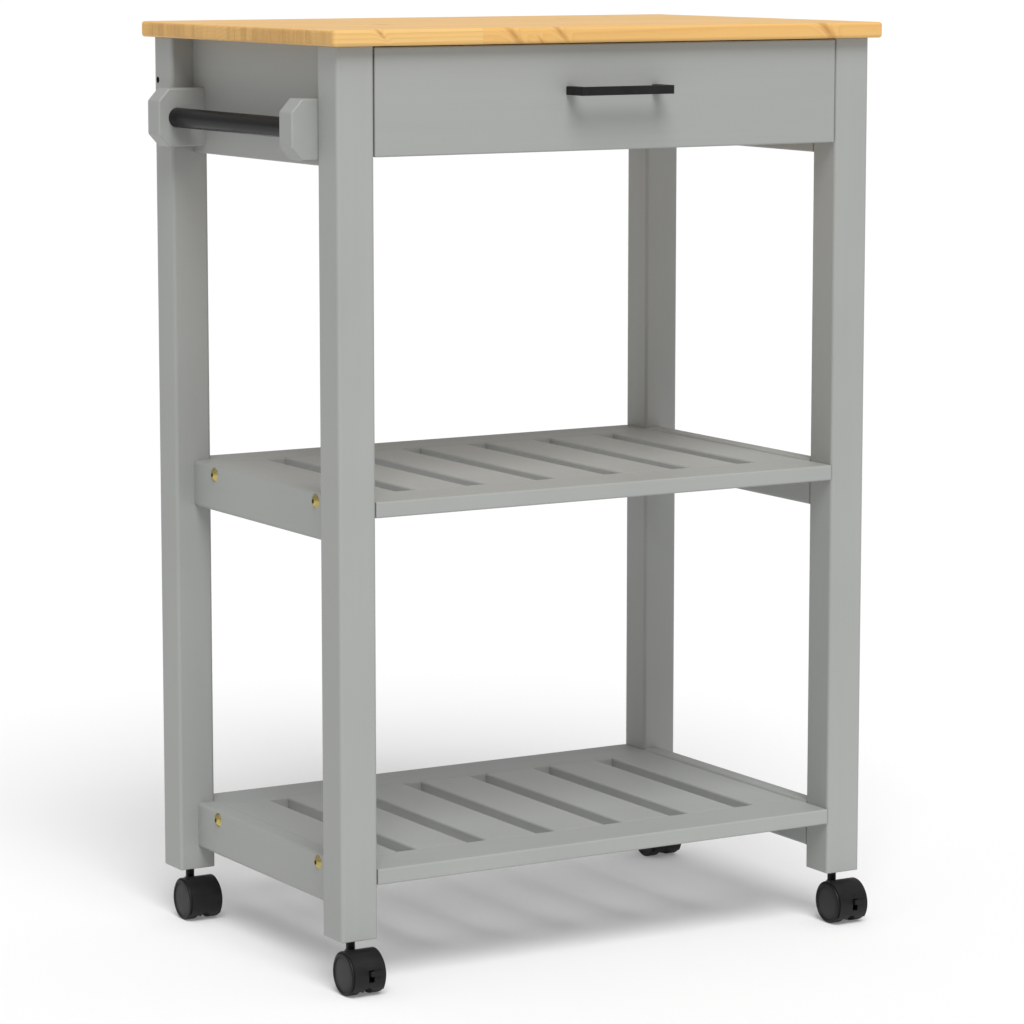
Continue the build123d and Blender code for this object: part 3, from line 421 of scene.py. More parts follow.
def pine(name, along, early, late, knot_colour, stave_width, knots=(), lacquer_and_top_light=0.0):
    """Solid pine in glued staves: rings from each stave's own log, fibres, knots and joints, with
    painted light that lightens its top faces.
    """
    material, tree, shader, place = new_material(name)
    parts = parted(tree, place)
    first = AXES[along]
    order = {0: (0, 1, 2), 1: (1, 0, 2), 2: (2, 0, 1)}[first]
    length, across, up = (parts[i] for i in order)
    stave, lot = stave_chances(tree, length, across, stave_width)
    middle = times(tree, plus(tree, stave, 0.5), stave_width)
    pith_across = plus(tree, middle, spread(tree, lot[0], -0.085, 0.085))
    pith_up = plus(tree, spread(tree, lot[1], -0.16, -0.02), PITH_HEIGHT)
    radius = pith_distance(tree, length, across, up, pith_across, pith_up)
    radius, heart = knots_in(tree, place, radius, knots)
    rings = ring_darkness(tree, radius, spread(tree, lot[2], 2.6 * MM, 4.8 * MM))

    fibre_place = stretched(tree, along, fine=1500.0, coarse=30.0)
    fibre = noise(tree, fibre_place, scale=1.0, detail=3.0, rough=0.6)
    cloud = noise(tree, stretched(tree, along, fine=26.0, coarse=4.0), scale=1.0, detail=3.0)
    depth = times(tree, rings, spread(tree, cloud, 0.35, 0.95, from_low=0.3, from_high=0.7))
    wood = mix_colour(tree, depth, early, late)
    for share, tone in (
            (spread(tree, lot[1], 0.0, 0.5), tinted(late, 1.22)),
            (spread(tree, lot[0], 0.0, 0.35), tinted(early, 1.12)),
            (spread(tree, cloud, 0.0, 0.22, from_low=0.4, from_high=0.75), tinted(early, 1.1)),
            (spread(tree, fibre, 0.0, 0.16, from_low=0.5, from_high=0.75), tinted(late, 0.7))):
        wood = mix_colour(tree, share, wood, tone)

    faces = parted(tree, add_node(tree, "ShaderNodeNewGeometry").outputs["Normal"])
    end_share = maths(tree, "ABSOLUTE", faces[first])
    end_grain = times(tree, spread(tree, end_share, 0.0, 0.42, from_low=0.6, from_high=0.95),
                      spread(tree, fibre, 0.6, 1.0, from_low=0.3, from_high=0.7))
    wood = mix_colour(tree, end_grain, wood, tinted(late, 1.2))
    band_place = stretched(tree, "z", fine=70.0, coarse=6.0)
    bands = noise(tree, band_place, scale=1.0, detail=3.0, rough=0.6)
    bands = plus(tree, spread(tree, bands, 0.0, 1.3, from_low=0.46, from_high=0.6),
                 times(tree, lot[0], 0.8))
    wood = mix_colour(tree, times(tree, end_grain, bands), wood, tinted(late, 0.74))
    # Painted light: faces that look up are lightened, standing for the stronger light on the top.
    painted_top_light = spread(tree, faces[2], 0.0, lacquer_and_top_light, from_low=0.6, from_high=0.95)
    wood = mix_colour(tree, times(tree, painted_top_light, 0.85), wood, TOP_LIGHT_TINT, "MULTIPLY")
    if heart is not None:
        wood = mix_colour(tree, times(tree, heart, 0.62), wood, knot_colour)
    glue = glue_lines(tree, across, stave_width)
    wood = mix_colour(tree, glue, wood, tinted(late, 0.55))

    tree.links.new(wood, shader.inputs["Base Color"])
    roughness = spread(tree, fibre, 0.40 - 0.06 * lacquer_and_top_light, 0.58 - 0.10 * lacquer_and_top_light)
    tree.links.new(roughness, shader.inputs["Roughness"])
    shader.inputs["Coat Weight"].default_value = 0.02 * lacquer_and_top_light
    shader.inputs["Coat Roughness"].default_value = 0.28
    shader.inputs["Specular IOR Level"].default_value = 0.13
    relief = minus(tree, times(tree, fibre, 0.5), times(tree, rings, 0.35))
    relief = minus(tree, relief, times(tree, glue, 1.5))
    set_bump(tree, shader, relief, strength=0.35, depth=0.12 * MM)
    return material


def enamel(name, colour, roughness, stipple_size, relief, sheen):
    """Sprayed enamel or powder coat with its own fine orange peel and handling marks."""
    material, tree, shader, place = new_material(name)
    peel = noise(tree, place, scale=1.0 / stipple_size, detail=2.0)
    smudge = noise(tree, place, scale=45.0, detail=3.0, rough=0.6)
    body = mottled(tree, smudge, colour, dark=0.8, light=1.35)
    tree.links.new(body, shader.inputs["Base Color"])
    vary_roughness(tree, shader, smudge, roughness - 0.03, roughness + 0.04)
    shader.inputs["Specular IOR Level"].default_value = sheen
    set_bump(tree, shader, peel, strength=0.4, depth=relief)
    return material


def plated(name, colour, roughness):
    """Plated metal: fine scratches and patches of duller plating."""
    material, tree, shader, place = new_material(name)
    scratches = noise(tree, place, scale=1400.0, detail=3.0, rough=0.7)
    patches = noise(tree, place, scale=160.0, detail=3.0)
    body = mottled(tree, patches, colour, dark=0.78, light=1.08)
    tree.links.new(body, shader.inputs["Base Color"])
    shader.inputs["Metallic"].default_value = 1.0
    dull = plus(tree, times(tree, scratches, 0.6), times(tree, patches, 0.4))
    vary_roughness(tree, shader, dull, roughness - 0.08, roughness + 0.14)
    set_bump(tree, shader, scratches, strength=0.25, depth=0.03 * MM)
    return material


def moulded(name, colour, roughness):
    """Injection-moulded nylon: spark-eroded texture, faint flow marks and painted shade on the
    wheel's rim.
    """
    material, tree, shader, place = new_material(name)
    texture = noise(tree, place, scale=2400.0, detail=2.0)
    flow = noise(tree, place, scale=60.0, detail=4.0, rough=0.6)
    body = mottled(tree, flow, colour, dark=0.82, light=1.3)
    # Painted shade: the marked rim is darkened for the shade where the wheel sits in its hood.
    body = mix_colour(tree, stored(tree, "rim"), body, tinted(colour, 0.3))
    tree.links.new(body, shader.inputs["Base Color"])
    vary_roughness(tree, shader, flow, roughness - 0.06, roughness + 0.10)
    shader.inputs["Specular IOR Level"].default_value = 0.24
    set_bump(tree, shader, texture, strength=0.5, depth=0.05 * MM)
    return material


FINISHES = {}


def finish_of(name):
    """A finish, made the first time that a piece asks for it."""
    if name not in FINISHES:
        FINISHES[name] = make_finish(name)
    return FINISHES[name]


def make_finish(name):
    """Make one of the cart's finishes from the colours in the settings."""
    colours = bpy.context.scene.cart_colours
    early, late, knot = (tuple(colour) for colour in
                         (colours.early_wood, colours.late_wood, colours.knot))
    kind, _, along = name.rpartition("_")
    if kind == "paint":
        return painted_pine(f"grey_paint_along_{along}", along, tuple(colours.paint))
    if kind == "bare_pine":
        return pine(f"bare_pine_along_{along}", along, pale(early), pale(late), knot,
                    BARE_BOARD_WIDTH)
    if name == "worktop_pine":
        stave_width = bpy.context.scene.cart_sizes.stave_width
        return pine(name, "x", early, late, knot, stave_width, worktop_knots(), lacquer_and_top_light=1.0)
    # Painted shade: near-black walls for bored holes, standing for the shade deep inside them.
    if name == "bored_wood":
        return enamel(name, tinted(knot, 0.12), roughness=0.8, stipple_size=1.0 * MM,
                      relief=0.1 * MM, sheen=0.05)
    if name == "dark_enamel":
        return enamel(name, tuple(colours.dark_enamel), roughness=0.46, stipple_size=0.7 * MM,
                      relief=0.05 * MM, sheen=0.17)
    if name == "black_enamel":
        return enamel(name, tuple(colours.black_enamel), roughness=0.30, stipple_size=2.0 * MM,
                      relief=0.006 * MM, sheen=0.09)
    maker, colour, roughness = {
        "brass_plate": (plated, colours.brass, 0.24),
        "zinc_plate": (plated, colours.zinc, 0.34),
        "hood_nylon": (moulded, colours.nylon, 0.42),
        "wheel_nylon": (moulded, colours.tyre, 0.48)}[name]
    return maker(name, tuple(colour), roughness)


def worktop_knots():
    """Knots of the worktop, as x, y, z and size: some on its front edge, some on top."""
    low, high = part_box("worktop")
    front, back, base, top = low.y, high.y, low.z, high.z
    on_edge = ((-0.104, 0.45, 5.5), (-0.0757, 0.15, 2.6), (-0.055, 0.6, 4.5), (0.243, 0.5, 6.5),
               (-0.245, 0.8, 3.0))
    on_top = ((-0.16, front + 0.15, 7.5), (0.11, front + 0.27, 6.0), (0.20, back - 0.07, 4.5))
    found = [(x, front, base + share * (top - base), size * MM) for x, share, size in on_edge]
    found += [(x, y, top, size * MM) for x, y, size in on_top]
    found.append((-0.05, back, (base + top) / 2, 5.0 * MM))
    return found


# ------------------------------------------------------------------ mesh building
def link(piece):
    """Put a new object in the scene."""
    bpy.context.scene.collection.objects.link(piece)
    return piece


def mesh_piece(name, builder, finish=None):
    """A new object from a bmesh, which is freed, with its finish."""
    mesh = bpy.data.meshes.new(name)
    builder.to_mesh(mesh)
    builder.free()
    piece = link(bpy.data.objects.new(name, mesh))
    if finish:
        mesh.materials.append(finish_of(finish))
    return piece


def made_plain(piece):
    """Apply a piece's modifiers, so that it becomes a plain mesh."""
    graph = bpy.context.evaluated_depsgraph_get()
    graph.update()
    mesh = bpy.data.meshes.new_from_object(
        piece.evaluated_get(graph), preserve_all_data_layers=True, depsgraph=graph)
    old = piece.data
    piece.modifiers.clear()
    piece.data = mesh
    mesh.name = piece.name
    if old.users == 0:
        bpy.data.meshes.remove(old)
    return piece


def seat(piece, body, slot, *nodes):
    """Make a finished piece ride on its body and stand for its CAD nodes."""
    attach(piece, body)
    if nodes:
        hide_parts(*nodes)
    return piece


def keep_node(node, finish):
    """Show a CAD node as it is, in a better finish."""
    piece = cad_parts[node]
    piece.data.materials.clear()
    piece.data.materials.append(finish_of(finish))


def box_builder(low, high):
    """A bmesh box between two corners."""
    builder = bmesh.new()
    bmesh.ops.create_cube(builder, size=1.0)
    size = Vector(high) - Vector(low)
    centre = (Vector(high) + Vector(low)) / 2
    for vertex in builder.verts:
        vertex.co = Vector(a * b for a, b in zip(vertex.co, size)) + centre
    return builder


def edge_direction(edge):
    """The axis that an edge of a box runs along, as 0, 1 or 2."""
    step = edge.verts[1].co - edge.verts[0].co
    return max(range(3), key=lambda axis: abs(step[axis]))


def weigh_edges(builder, weight_of):
    """Give every edge the share of the rounding that it gets."""
    weights = builder.edges.layers.float.new(BEVEL_WEIGHT)
    for edge in builder.edges:
        edge[weights] = weight_of(edge)


def round_edges(piece, name, width, segments):
    """Round a piece's edges, each by its own share of a width."""
    bevel = piece.modifiers.new(name, "BEVEL")
    bevel.width = width
    bevel.segments = segments
    bevel.limit_method = "WEIGHT"


def cut_holes(piece, cutters):
    """Cut holes into a piece; their walls take the cutters' finish, where they have one."""
    for cutter in cutters:
        cut = piece.modifiers.new("hole", "BOOLEAN")
        cut.object = cutter
        cut.operation = "DIFFERENCE"
        cut.solver = "EXACT"
        cut.material_mode = "TRANSFER"


def hole_cutter(radius, depth, segments, axis, mouth, flip=False, finish=None):
    """A rod that cuts a blind hole from its mouth, and stands out of it a little."""
    profile = [(0, -HOLE_LEAD), (radius, -HOLE_LEAD), (radius, depth), (0, depth)]
    return mesh_piece("hole_cutter", lathe(profile, segments, axis, mouth, flip), finish)


def prism(outline, axis, start, end, spans):
    """An outline drawn out along an axis, with one face at each end for every span of it."""
    builder = bmesh.new()
    rings = []
    for level in (start, end):
        places = [(*corner[:axis], level, *corner[axis:]) for corner in outline]
        rings.append([builder.verts.new(place) for place in places])
    for span in spans:
        for ring in rings:
            builder.faces.new([ring[i] for i in span])
    near, far = rings
    for i in range(len(outline)):
        after = (i + 1) % len(outline)
        builder.faces.new((near[i], near[after], far[after], far[i]))
    bmesh.ops.recalc_face_normals(builder, faces=builder.faces)
    return builder


def mark_edges(mesh, low, high, reach):
    """Store how near each corner point lies to two faces at once, for wear and a painted
    highlight on the edges.
    """
    points = np.empty(len(mesh.vertices) * 3, np.float32)
    mesh.vertices.foreach_get("co", points)
    points = points.reshape(-1, 3)
    inset = np.minimum(points - np.array(low), np.array(high) - points)
    inset.sort(axis=1)
    worn = np.clip(1.0 - inset[:, 1] / max(reach, TINY), 0.0, 1.0)
    layer = mesh.attributes.new("edge", "FLOAT", "POINT")
    layer.data.foreach_set("value", worn.astype(np.float32))


def board(name, low, high, along, radius, end_radius, finish, cutters=(), corner=0.0):
    """A planed board: long edges rounded, sawn ends eased, and any holes cut into it.

    Its upright corners can have a larger radius of their own."""
    widest = max(radius, corner)

    def weight_of(edge):
        run = edge_direction(edge)
        width = radius if run == AXES[along] else end_radius
        return (corner if corner and run == AXES["z"] else width) / widest

    builder = box_builder(low, high)
    weigh_edges(builder, weight_of)
    piece = mesh_piece(name, builder, finish)
    round_edges(piece, "eased edges", widest, segments=4)
    cut_holes(piece, cutters)
    smooth_flats(piece)
    made_plain(piece)
    mark_edges(piece.data, low, high, radius)
    for cutter in cutters:
        bpy.data.objects.remove(cutter)
    return piece


def smooth_flats(piece, angle=40):
    """Shade a piece smooth, with its flat faces left flat."""
    for polygon in piece.data.polygons:
        polygon.use_smooth = True
    weighted = piece.modifiers.new("flat faces", "WEIGHTED_NORMAL")
    weighted.keep_sharp = True
    weighted.weight = 100
    piece.data.set_sharp_from_angle(angle=math.radians(angle))


def board_of(node, along, radius, body, slot="grey_paint", finish=None, cutters=(), end=None,
             corner=0.0):
    """A board in the place of one CAD node."""
    low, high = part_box(node)
    end_radius = bpy.context.scene.cart_sizes.end_edge if end is None else end
    piece = board(f"{node}_board", low, high, along, radius, end_radius,
                  finish or f"paint_{along}", cutters, corner)
    return seat(piece, body, slot, node)


def lathe(profile, segments, axis="z", place=(0, 0, 0), flip=False):
    """Turn a profile of (radius, height, flat sides) about an axis, as a closed bmesh.

    A ring with flat sides follows a polygon whose sides lie at its radius."""
    builder = bmesh.new()
    rings = []
    for radius, height, *sides in profile:
        if radius == 0:
            rings.append([builder.verts.new((0, 0, height))])
            continue
        ring = []
        for step in range(segments):
            angle = math.tau * step / segments
            reach = radius
            if sides:
                sector = math.tau / sides[0]
                reach = radius / math.cos((angle % sector) - sector / 2)
            x, y = reach * math.cos(angle), reach * math.sin(angle)
            ring.append(builder.verts.new((x, y, height)))
        rings.append(ring)
    for lower, upper in zip(rings, rings[1:]):
        for step in range(segments):
            after = (step + 1) % segments
            if len(lower) == 1 and len(upper) == 1:
                continue
            if len(lower) == 1:
                builder.faces.new((lower[0], upper[after], upper[step]))
            elif len(upper) == 1:
                builder.faces.new((lower[step], lower[after], upper[0]))
            else:
                builder.faces.new((lower[step], lower[after], upper[after], upper[step]))
    if flip:
        bmesh.ops.scale(builder, vec=(1, 1, -1), verts=builder.verts)
    seating = Matrix.Translation(place) @ TURNS[axis]
    bmesh.ops.transform(builder, matrix=seating, verts=builder.verts)
    bmesh.ops.recalc_face_normals(builder, faces=builder.faces)
    return builder


def arc(centre, radius, start, end, steps):
    """Points along an arc in a profile, in degrees."""
    points = []
    for step in range(steps + 1):
        angle = math.radians(start + (end - start) * step / steps)
        across, up = radius * math.cos(angle), radius * math.sin(angle)
        points.append((centre[0] + across, centre[1] + up))
    return points


def shade(piece, angle=32):
    """Shade a turned piece smooth, with sharp steps left sharp."""
    for polygon in piece.data.polygons:
        polygon.use_smooth = True
    piece.data.set_sharp_from_angle(angle=math.radians(angle))
    return piece


def solids_of(node):
    """The boxes of a CAD node's separate solids, as (low, high, points)."""
    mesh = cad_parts[node].data
    points = np.empty(len(mesh.vertices) * 3)
    mesh.vertices.foreach_get("co", points)
    points = points.reshape(-1, 3)
    microns = np.round(points / TINY).astype(np.int64)
    keys, index = np.unique(microns, axis=0, return_inverse=True)
    index = index.reshape(-1)
    corners = np.empty(len(mesh.loops), np.int64)
    mesh.loops.foreach_get("vertex_index", corners)
    triangles = index[corners].reshape(-1, 3)
    group = np.arange(len(keys))
    while True:
        least = group[triangles].min(axis=1)
        fresh = group.copy()
        for column in range(3):
            np.minimum.at(fresh, triangles[:, column], least)
        fresh = fresh[fresh]
        if np.array_equal(fresh, group):
            break
        group = fresh
    found = []
    for label in np.unique(group):
        members = keys[group == label] * TINY
        found.append((members.min(axis=0), members.max(axis=0), members))
    return found


def fastener_places(node):
    """Where each fastener of a CAD node starts, at its head, and the way that it points."""
    places = []
    for low, high, points in solids_of(node):
        axis = int(np.argmax(high - low))
        others = [i for i in range(3) if i != axis]
        centre = (low + high) / 2
        reach = np.linalg.norm(points[:, others] - centre[others], axis=1)
        widest = points[reach > reach.max() - 10 * TINY, axis].mean()
        at_low = widest < centre[axis]
        direction = np.zeros(3)
        direction[axis] = 1.0 if at_low else -1.0
        start = centre.copy()
        start[axis] = low[axis] if at_low else high[axis]
        places.append((start, direction, high[axis] - low[axis]))
    return places


# ------------------------------------------------------------------ Geometry Nodes
def new_tree(name, sockets):
    """A Geometry Nodes tree with named inputs after its geometry."""
    tree = bpy.data.node_groups.new(name, "GeometryNodeTree")
    tree.is_modifier = True
    tree.interface.new_socket("Geometry", in_out="INPUT", socket_type="NodeSocketGeometry")
    for label, kind in sockets:
        tree.interface.new_socket(label, in_out="INPUT", socket_type=f"NodeSocket{kind}")
    tree.interface.new_socket("Geometry", in_out="OUTPUT", socket_type="NodeSocketGeometry")
    given = tree.nodes.new("NodeGroupInput").outputs
    return tree, given


def end_tree(tree, geometry, material):
    """Realize the instances, set their material and end the tree."""
    real = add_node(tree, "GeometryNodeRealizeInstances", {0: geometry}).outputs[0]
    dressed = add_node(tree, "GeometryNodeSetMaterial", {"Geometry": real, "Material": material})
    add_node(tree, "NodeGroupOutput", {0: dressed.outputs[0]})


def set_tree(piece, tree, values):
    """Add a tree to a piece as its modifier and set its inputs by their identifiers."""
    modifier = piece.modifiers.new(tree.name, "NODES")
    modifier.node_group = tree
    for item in tree.interface.items_tree:
        if item.in_out == "INPUT" and item.name in values:
            modifier[item.identifier] = values[item.name]
    return modifier


def slat_tree():
    """Slats in a row: a count at a pitch, the two end ones narrower on their outer side."""
    tree, given = new_tree("Slat row", [
        ("Centre", "Vector"), ("Count", "Int"), ("Pitch", "Float"), ("Width", "Float"),
        ("End trim", "Float"), ("Length", "Float"), ("Thickness", "Float"),
        ("Finish", "Material")])
    last = minus(tree, given["Count"], 1.0)
    back = times(tree, times(tree, last, given["Pitch"]), -0.5)
    start = vector_maths(tree, "ADD", joined(tree, back), given["Centre"])
    step = joined(tree, given["Pitch"])
    line = add_node(tree, "GeometryNodeMeshLine",
                    {"Count": given["Count"], "Start Location": start, "Offset": step})
    index = add_node(tree, "GeometryNodeInputIndex").outputs[0]
    is_first = maths(tree, "LESS_THAN", index, 0.5)
    is_last = maths(tree, "GREATER_THAN", index, minus(tree, last, 0.5))
    inward = times(tree, minus(tree, is_first, is_last), times(tree, given["End trim"], 0.5))
    moved = add_node(tree, "GeometryNodeSetPosition",
                     {"Geometry": line.outputs[0], "Offset": joined(tree, inward)})
    trim = times(tree, plus(tree, is_first, is_last), given["End trim"])
    width = minus(tree, given["Width"], trim)
    size = joined(tree, width, given["Length"], given["Thickness"])
    blank = add_node(tree, "GeometryNodeMeshCube", {"Size": (1.0, 1.0, 1.0)})
    slats = add_node(tree, "GeometryNodeInstanceOnPoints", {
        "Points": moved.outputs[0], "Instance": blank.outputs[0], "Scale": size})
    end_tree(tree, slats.outputs[0], given["Finish"])
    return tree


def fastener_tree():
    """One fastener at each point, along the point's own direction, each turned by chance."""
    tree, given = new_tree("Fasteners", [
        ("Pattern", "Object"), ("Turn seed", "Int"), ("Finish", "Material")])
    pattern = add_node(tree, "GeometryNodeObjectInfo", {"Object": given["Pattern"]})
    direction = add_node(tree, "GeometryNodeInputNamedAttribute", {"Name": "direction"},
                         data_type="FLOAT_VECTOR").outputs["Attribute"]
    facing = add_node(tree, "FunctionNodeAlignRotationToVector", {"Vector": direction}, axis="Z")
    chance = add_node(tree, "FunctionNodeRandomValue", data_type="FLOAT")
    for socket in chance.inputs:
        if socket.name == "Max" and socket.type == "VALUE":
            socket.default_value = math.tau
    tree.links.new(given["Turn seed"], chance.inputs["Seed"])
    spin = [s for s in chance.outputs if s.type == "VALUE" and s.enabled][0]
    turn = add_node(tree, "FunctionNodeAxisAngleToRotation",
                    {"Axis": (0.0, 0.0, 1.0), "Angle": spin})
    both = add_node(tree, "FunctionNodeRotateRotation",
                    {0: facing.outputs[0], 1: turn.outputs[0]}, rotation_space="LOCAL")
    placed = add_node(tree, "GeometryNodeInstanceOnPoints", {
        "Points": given["Geometry"], "Instance": pattern.outputs["Geometry"],
        "Rotation": both.outputs[0]})
    end_tree(tree, placed.outputs[0], given["Finish"])
    return tree


TREES = {}


def shared_tree(maker):
    """A tree that is made once and used by several pieces."""
    if maker not in TREES:
        TREES[maker] = maker()
    return TREES[maker]


def place_fasteners(name, node, profile, segments, finish, body, slot, seed):
    """Stand one turned fastener in the place of each solid of a CAD node."""
    places = fastener_places(node)
    blank = lathe(profile(places[0][2]), segments)
    pattern = shade(mesh_piece(f"{name}_pattern", blank), 38)
    mesh = bpy.data.meshes.new(name)
    mesh.from_pydata([tuple(start) for start, _, _ in places], [], [])
    layer = mesh.attributes.new("direction", "FLOAT_VECTOR", "POINT")
    layer.data.foreach_set("vector", np.array([d for _, d, _ in places], np.float32).ravel())
    piece = link(bpy.data.objects.new(name, mesh))
    set_tree(piece, shared_tree(fastener_tree),
             {"Pattern": pattern, "Turn seed": seed, "Finish": finish_of(finish)})
    made_plain(piece)
    bpy.data.objects.remove(pattern)
    return seat(piece, body, slot, node)


def in_metres(*rows):
    """Rows of a profile that are given in millimetres."""
    return [(radius * MM, height * MM, *sides) for radius, height, *sides in rows]


def bolt_profile(length):
    """A domed furniture bolt with a hexagon socket, its dome's top at height 0."""
    head, rise, shank, socket, depth, end = 7.0, 3.4, 3.0, 2.0, 2.1, length / MM
    dome = (head * head + rise * rise) / (2 * rise)
    mouth, steps = socket * 1.3, 8
    rows = [(0, depth + 0.5), (socket * 0.98, depth, 6), (socket, 0.22, 6),
            (socket * 1.12, 0.06, 6)]
    for step in range(1, steps + 1):
        radius = mouth + (head - mouth) * step / steps
        height = dome - math.sqrt(dome * dome - radius * radius)
        rows.append((min(radius, head - 0.12), min(height, rise - 0.3)))
    rows += [(head, rise - 0.15), (head - 0.15, rise), (shank, rise), (shank, end - 0.8),
             (shank - 0.8, end), (0, end)]
    return in_metres(*rows)


def countersunk_profile(length):
    """A countersunk wood screw with a square drive socket, its head's face at height 0."""
    end = length / MM
    return in_metres(
        (0, 1.6), (1.15, 1.5, 4), (1.3, 0.1, 4), (1.45, 0, 4), (3.8, 0), (4.0, 0.12), (2.0, 2.4),
        (2.0, end - 4), (0.5, end - 0.3), (0, end))


def pan_profile(length):
    """A round-headed screw with a hexagon drive socket, the top of its head at height 0."""
    end = length / MM
    return in_metres(
        (0, 1.5), (1.3, 1.4, 6), (1.45, 0.15, 6), (1.6, 0, 6), (2.8, 0.05), (3.5, 0.45),
        (3.9, 1.1), (4.0, 1.8), (3.95, 2.4), (2.0, 2.4), (2.0, end - 0.8), (1.2, end), (0, end))


def slim_pan_profile(length):
    """A long screw with a small round head that lies deep in its hole."""
    end = length / MM
    return in_metres(
        (0, 1.3), (1.1, 1.2, 4), (1.25, 0.1, 4), (1.4, 0, 4), (2.2, 0.1), (2.75, 0.7), (2.9, 1.6),
        (2.9, 3.0), (2.0, 3.0), (2.0, end - 0.8), (1.2, end), (0, end))


# ------------------------------------------------------------------ operators
class CART_OT_worktop(bpy.types.Operator):
    """Build the pine worktop with its glued staves, eased edges and knots"""

    bl_idname = "cart.worktop"
    bl_label = "Worktop"

    def execute(self, context):
        sizes = context.scene.cart_sizes
        board_of("worktop", "x", sizes.top_edge, ROOT, "pine_top", "worktop_pine",
                 end=sizes.top_edge, corner=sizes.top_corner)
        return {"FINISHED"}


class CART_OT_frame_boards(bpy.types.Operator):
    """Build the four legs, the aprons and the stretcher over the drawer"""

    bl_idname = "cart.frame_boards"
    bl_label = "Legs and aprons"

    def execute(self, context):
        sizes = context.scene.cart_sizes
        for corner in CORNERS:
            cutters = self.screw_holes(corner)
            board_of(f"leg_{corner}", "z", sizes.leg_edge, ROOT, cutters=cutters, end=1.0 * MM)
        for side in ("left", "right"):
            board_of(f"apron_{side}", "y", sizes.board_edge, ROOT)
        board_of("apron_back", "x", sizes.board_edge, ROOT)
        board_of("front_stretcher", "x", sizes.end_edge, ROOT)
        return {"FINISHED"}

    def screw_holes(self, corner):
        """Cutters for the two sunk screws in the outside of a back leg, and the caster hole."""
        low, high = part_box(f"leg_{corner}")
        sockets = [(base, tip) for base, tip, _ in solids_of("caster_sockets")
                   if low.x < base[0] < high.x and low.y < base[1] < high.y]
        base, tip = sockets[0]
        centre = (base + tip) / 2
        radius = (tip[0] - base[0]) / 2 + 0.05 * MM
        depth = tip[2] - low.z + 0.5 * MM
        # The caster hole's wall takes painted shade.
        cutters = [hole_cutter(radius, depth, 32, "z", (centre[0], centre[1], low.z),
                               finish="bored_wood")]
        if corner.startswith("back"):
            outside = low.x if corner.endswith("left") else high.x
            for start, direction, _ in fastener_places("apron_screws"):
                if abs(start[0] - outside) < high.x - low.x:
                    sunk = (start[0] - outside) * direction[0] + 0.2 * MM
                    # The screw holes' walls take painted shade.
                    cutters.append(hole_cutter(
                        3.15 * MM, sunk, 32, "x", (outside, start[1], start[2]),
                        flip=direction[0] < 0, finish="bored_wood"))
        return cutters


class CART_OT_drawer(bpy.types.Operator):
    """Build the drawer front and its bare pine box"""

    bl_idname = "cart.drawer"
    bl_label = "Drawer"

    def execute(self, context):
        sizes = context.scene.cart_sizes
        board_of("drawer_front", "x", sizes.board_edge, DRAWER, end=sizes.board_edge)
        for node, along in (
                ("drawer_side_left", "y"), ("drawer_side_right", "y"), ("drawer_back", "x"),
                ("drawer_bottom", "x"), ("drawer_dowels", "y"), ("drawer_runner_left", "y"),
                ("drawer_runner_right", "y")):
            keep_node(node, f"bare_pine_{along}")
        return {"FINISHED"}


class CART_OT_handle(bpy.types.Operator):
    """Build the drawer's bridge handle"""

    bl_idname = "cart.handle"
    bl_label = "Drawer handle"

    def execute(self, context):
        low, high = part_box("drawer_handle")
        bar = high.z - low.z
        outline = [(low.x, high.y), (low.x, low.y), (high.x, low.y), (high.x, high.y),
                   (high.x - bar, high.y), (high.x - bar, low.y + bar),
                   (low.x + bar, low.y + bar), (low.x + bar, high.y)]
        post_and_bar_spans = ((0, 1, 6, 7), (1, 2, 5, 6), (2, 3, 4, 5))

        def weight_of(edge):
            if len(edge.link_faces) == 2 and edge.calc_face_angle(0.0) < 0.1:
                return 0.0
            at_front = all(abs(v.co.y - low.y) < TINY for v in edge.verts)
            return 1.0 if at_front and edge_direction(edge) == AXES["z"] else 0.22

        builder = prism(outline, AXES["z"], low.z, high.z, post_and_bar_spans)
        weigh_edges(builder, weight_of)
        piece = mesh_piece("drawer_handle_bridge", builder, "dark_enamel")
        round_edges(piece, "bent corners", 3.0 * MM, segments=5)
        smooth_flats(piece)
        made_plain(piece)
        seat(piece, DRAWER, "dark_metal", "drawer_handle")
        place_fasteners("handle_screw_heads", "handle_screws", pan_profile, 24, "zinc_plate",
                        DRAWER, "steel", 5)
        return {"FINISHED"}


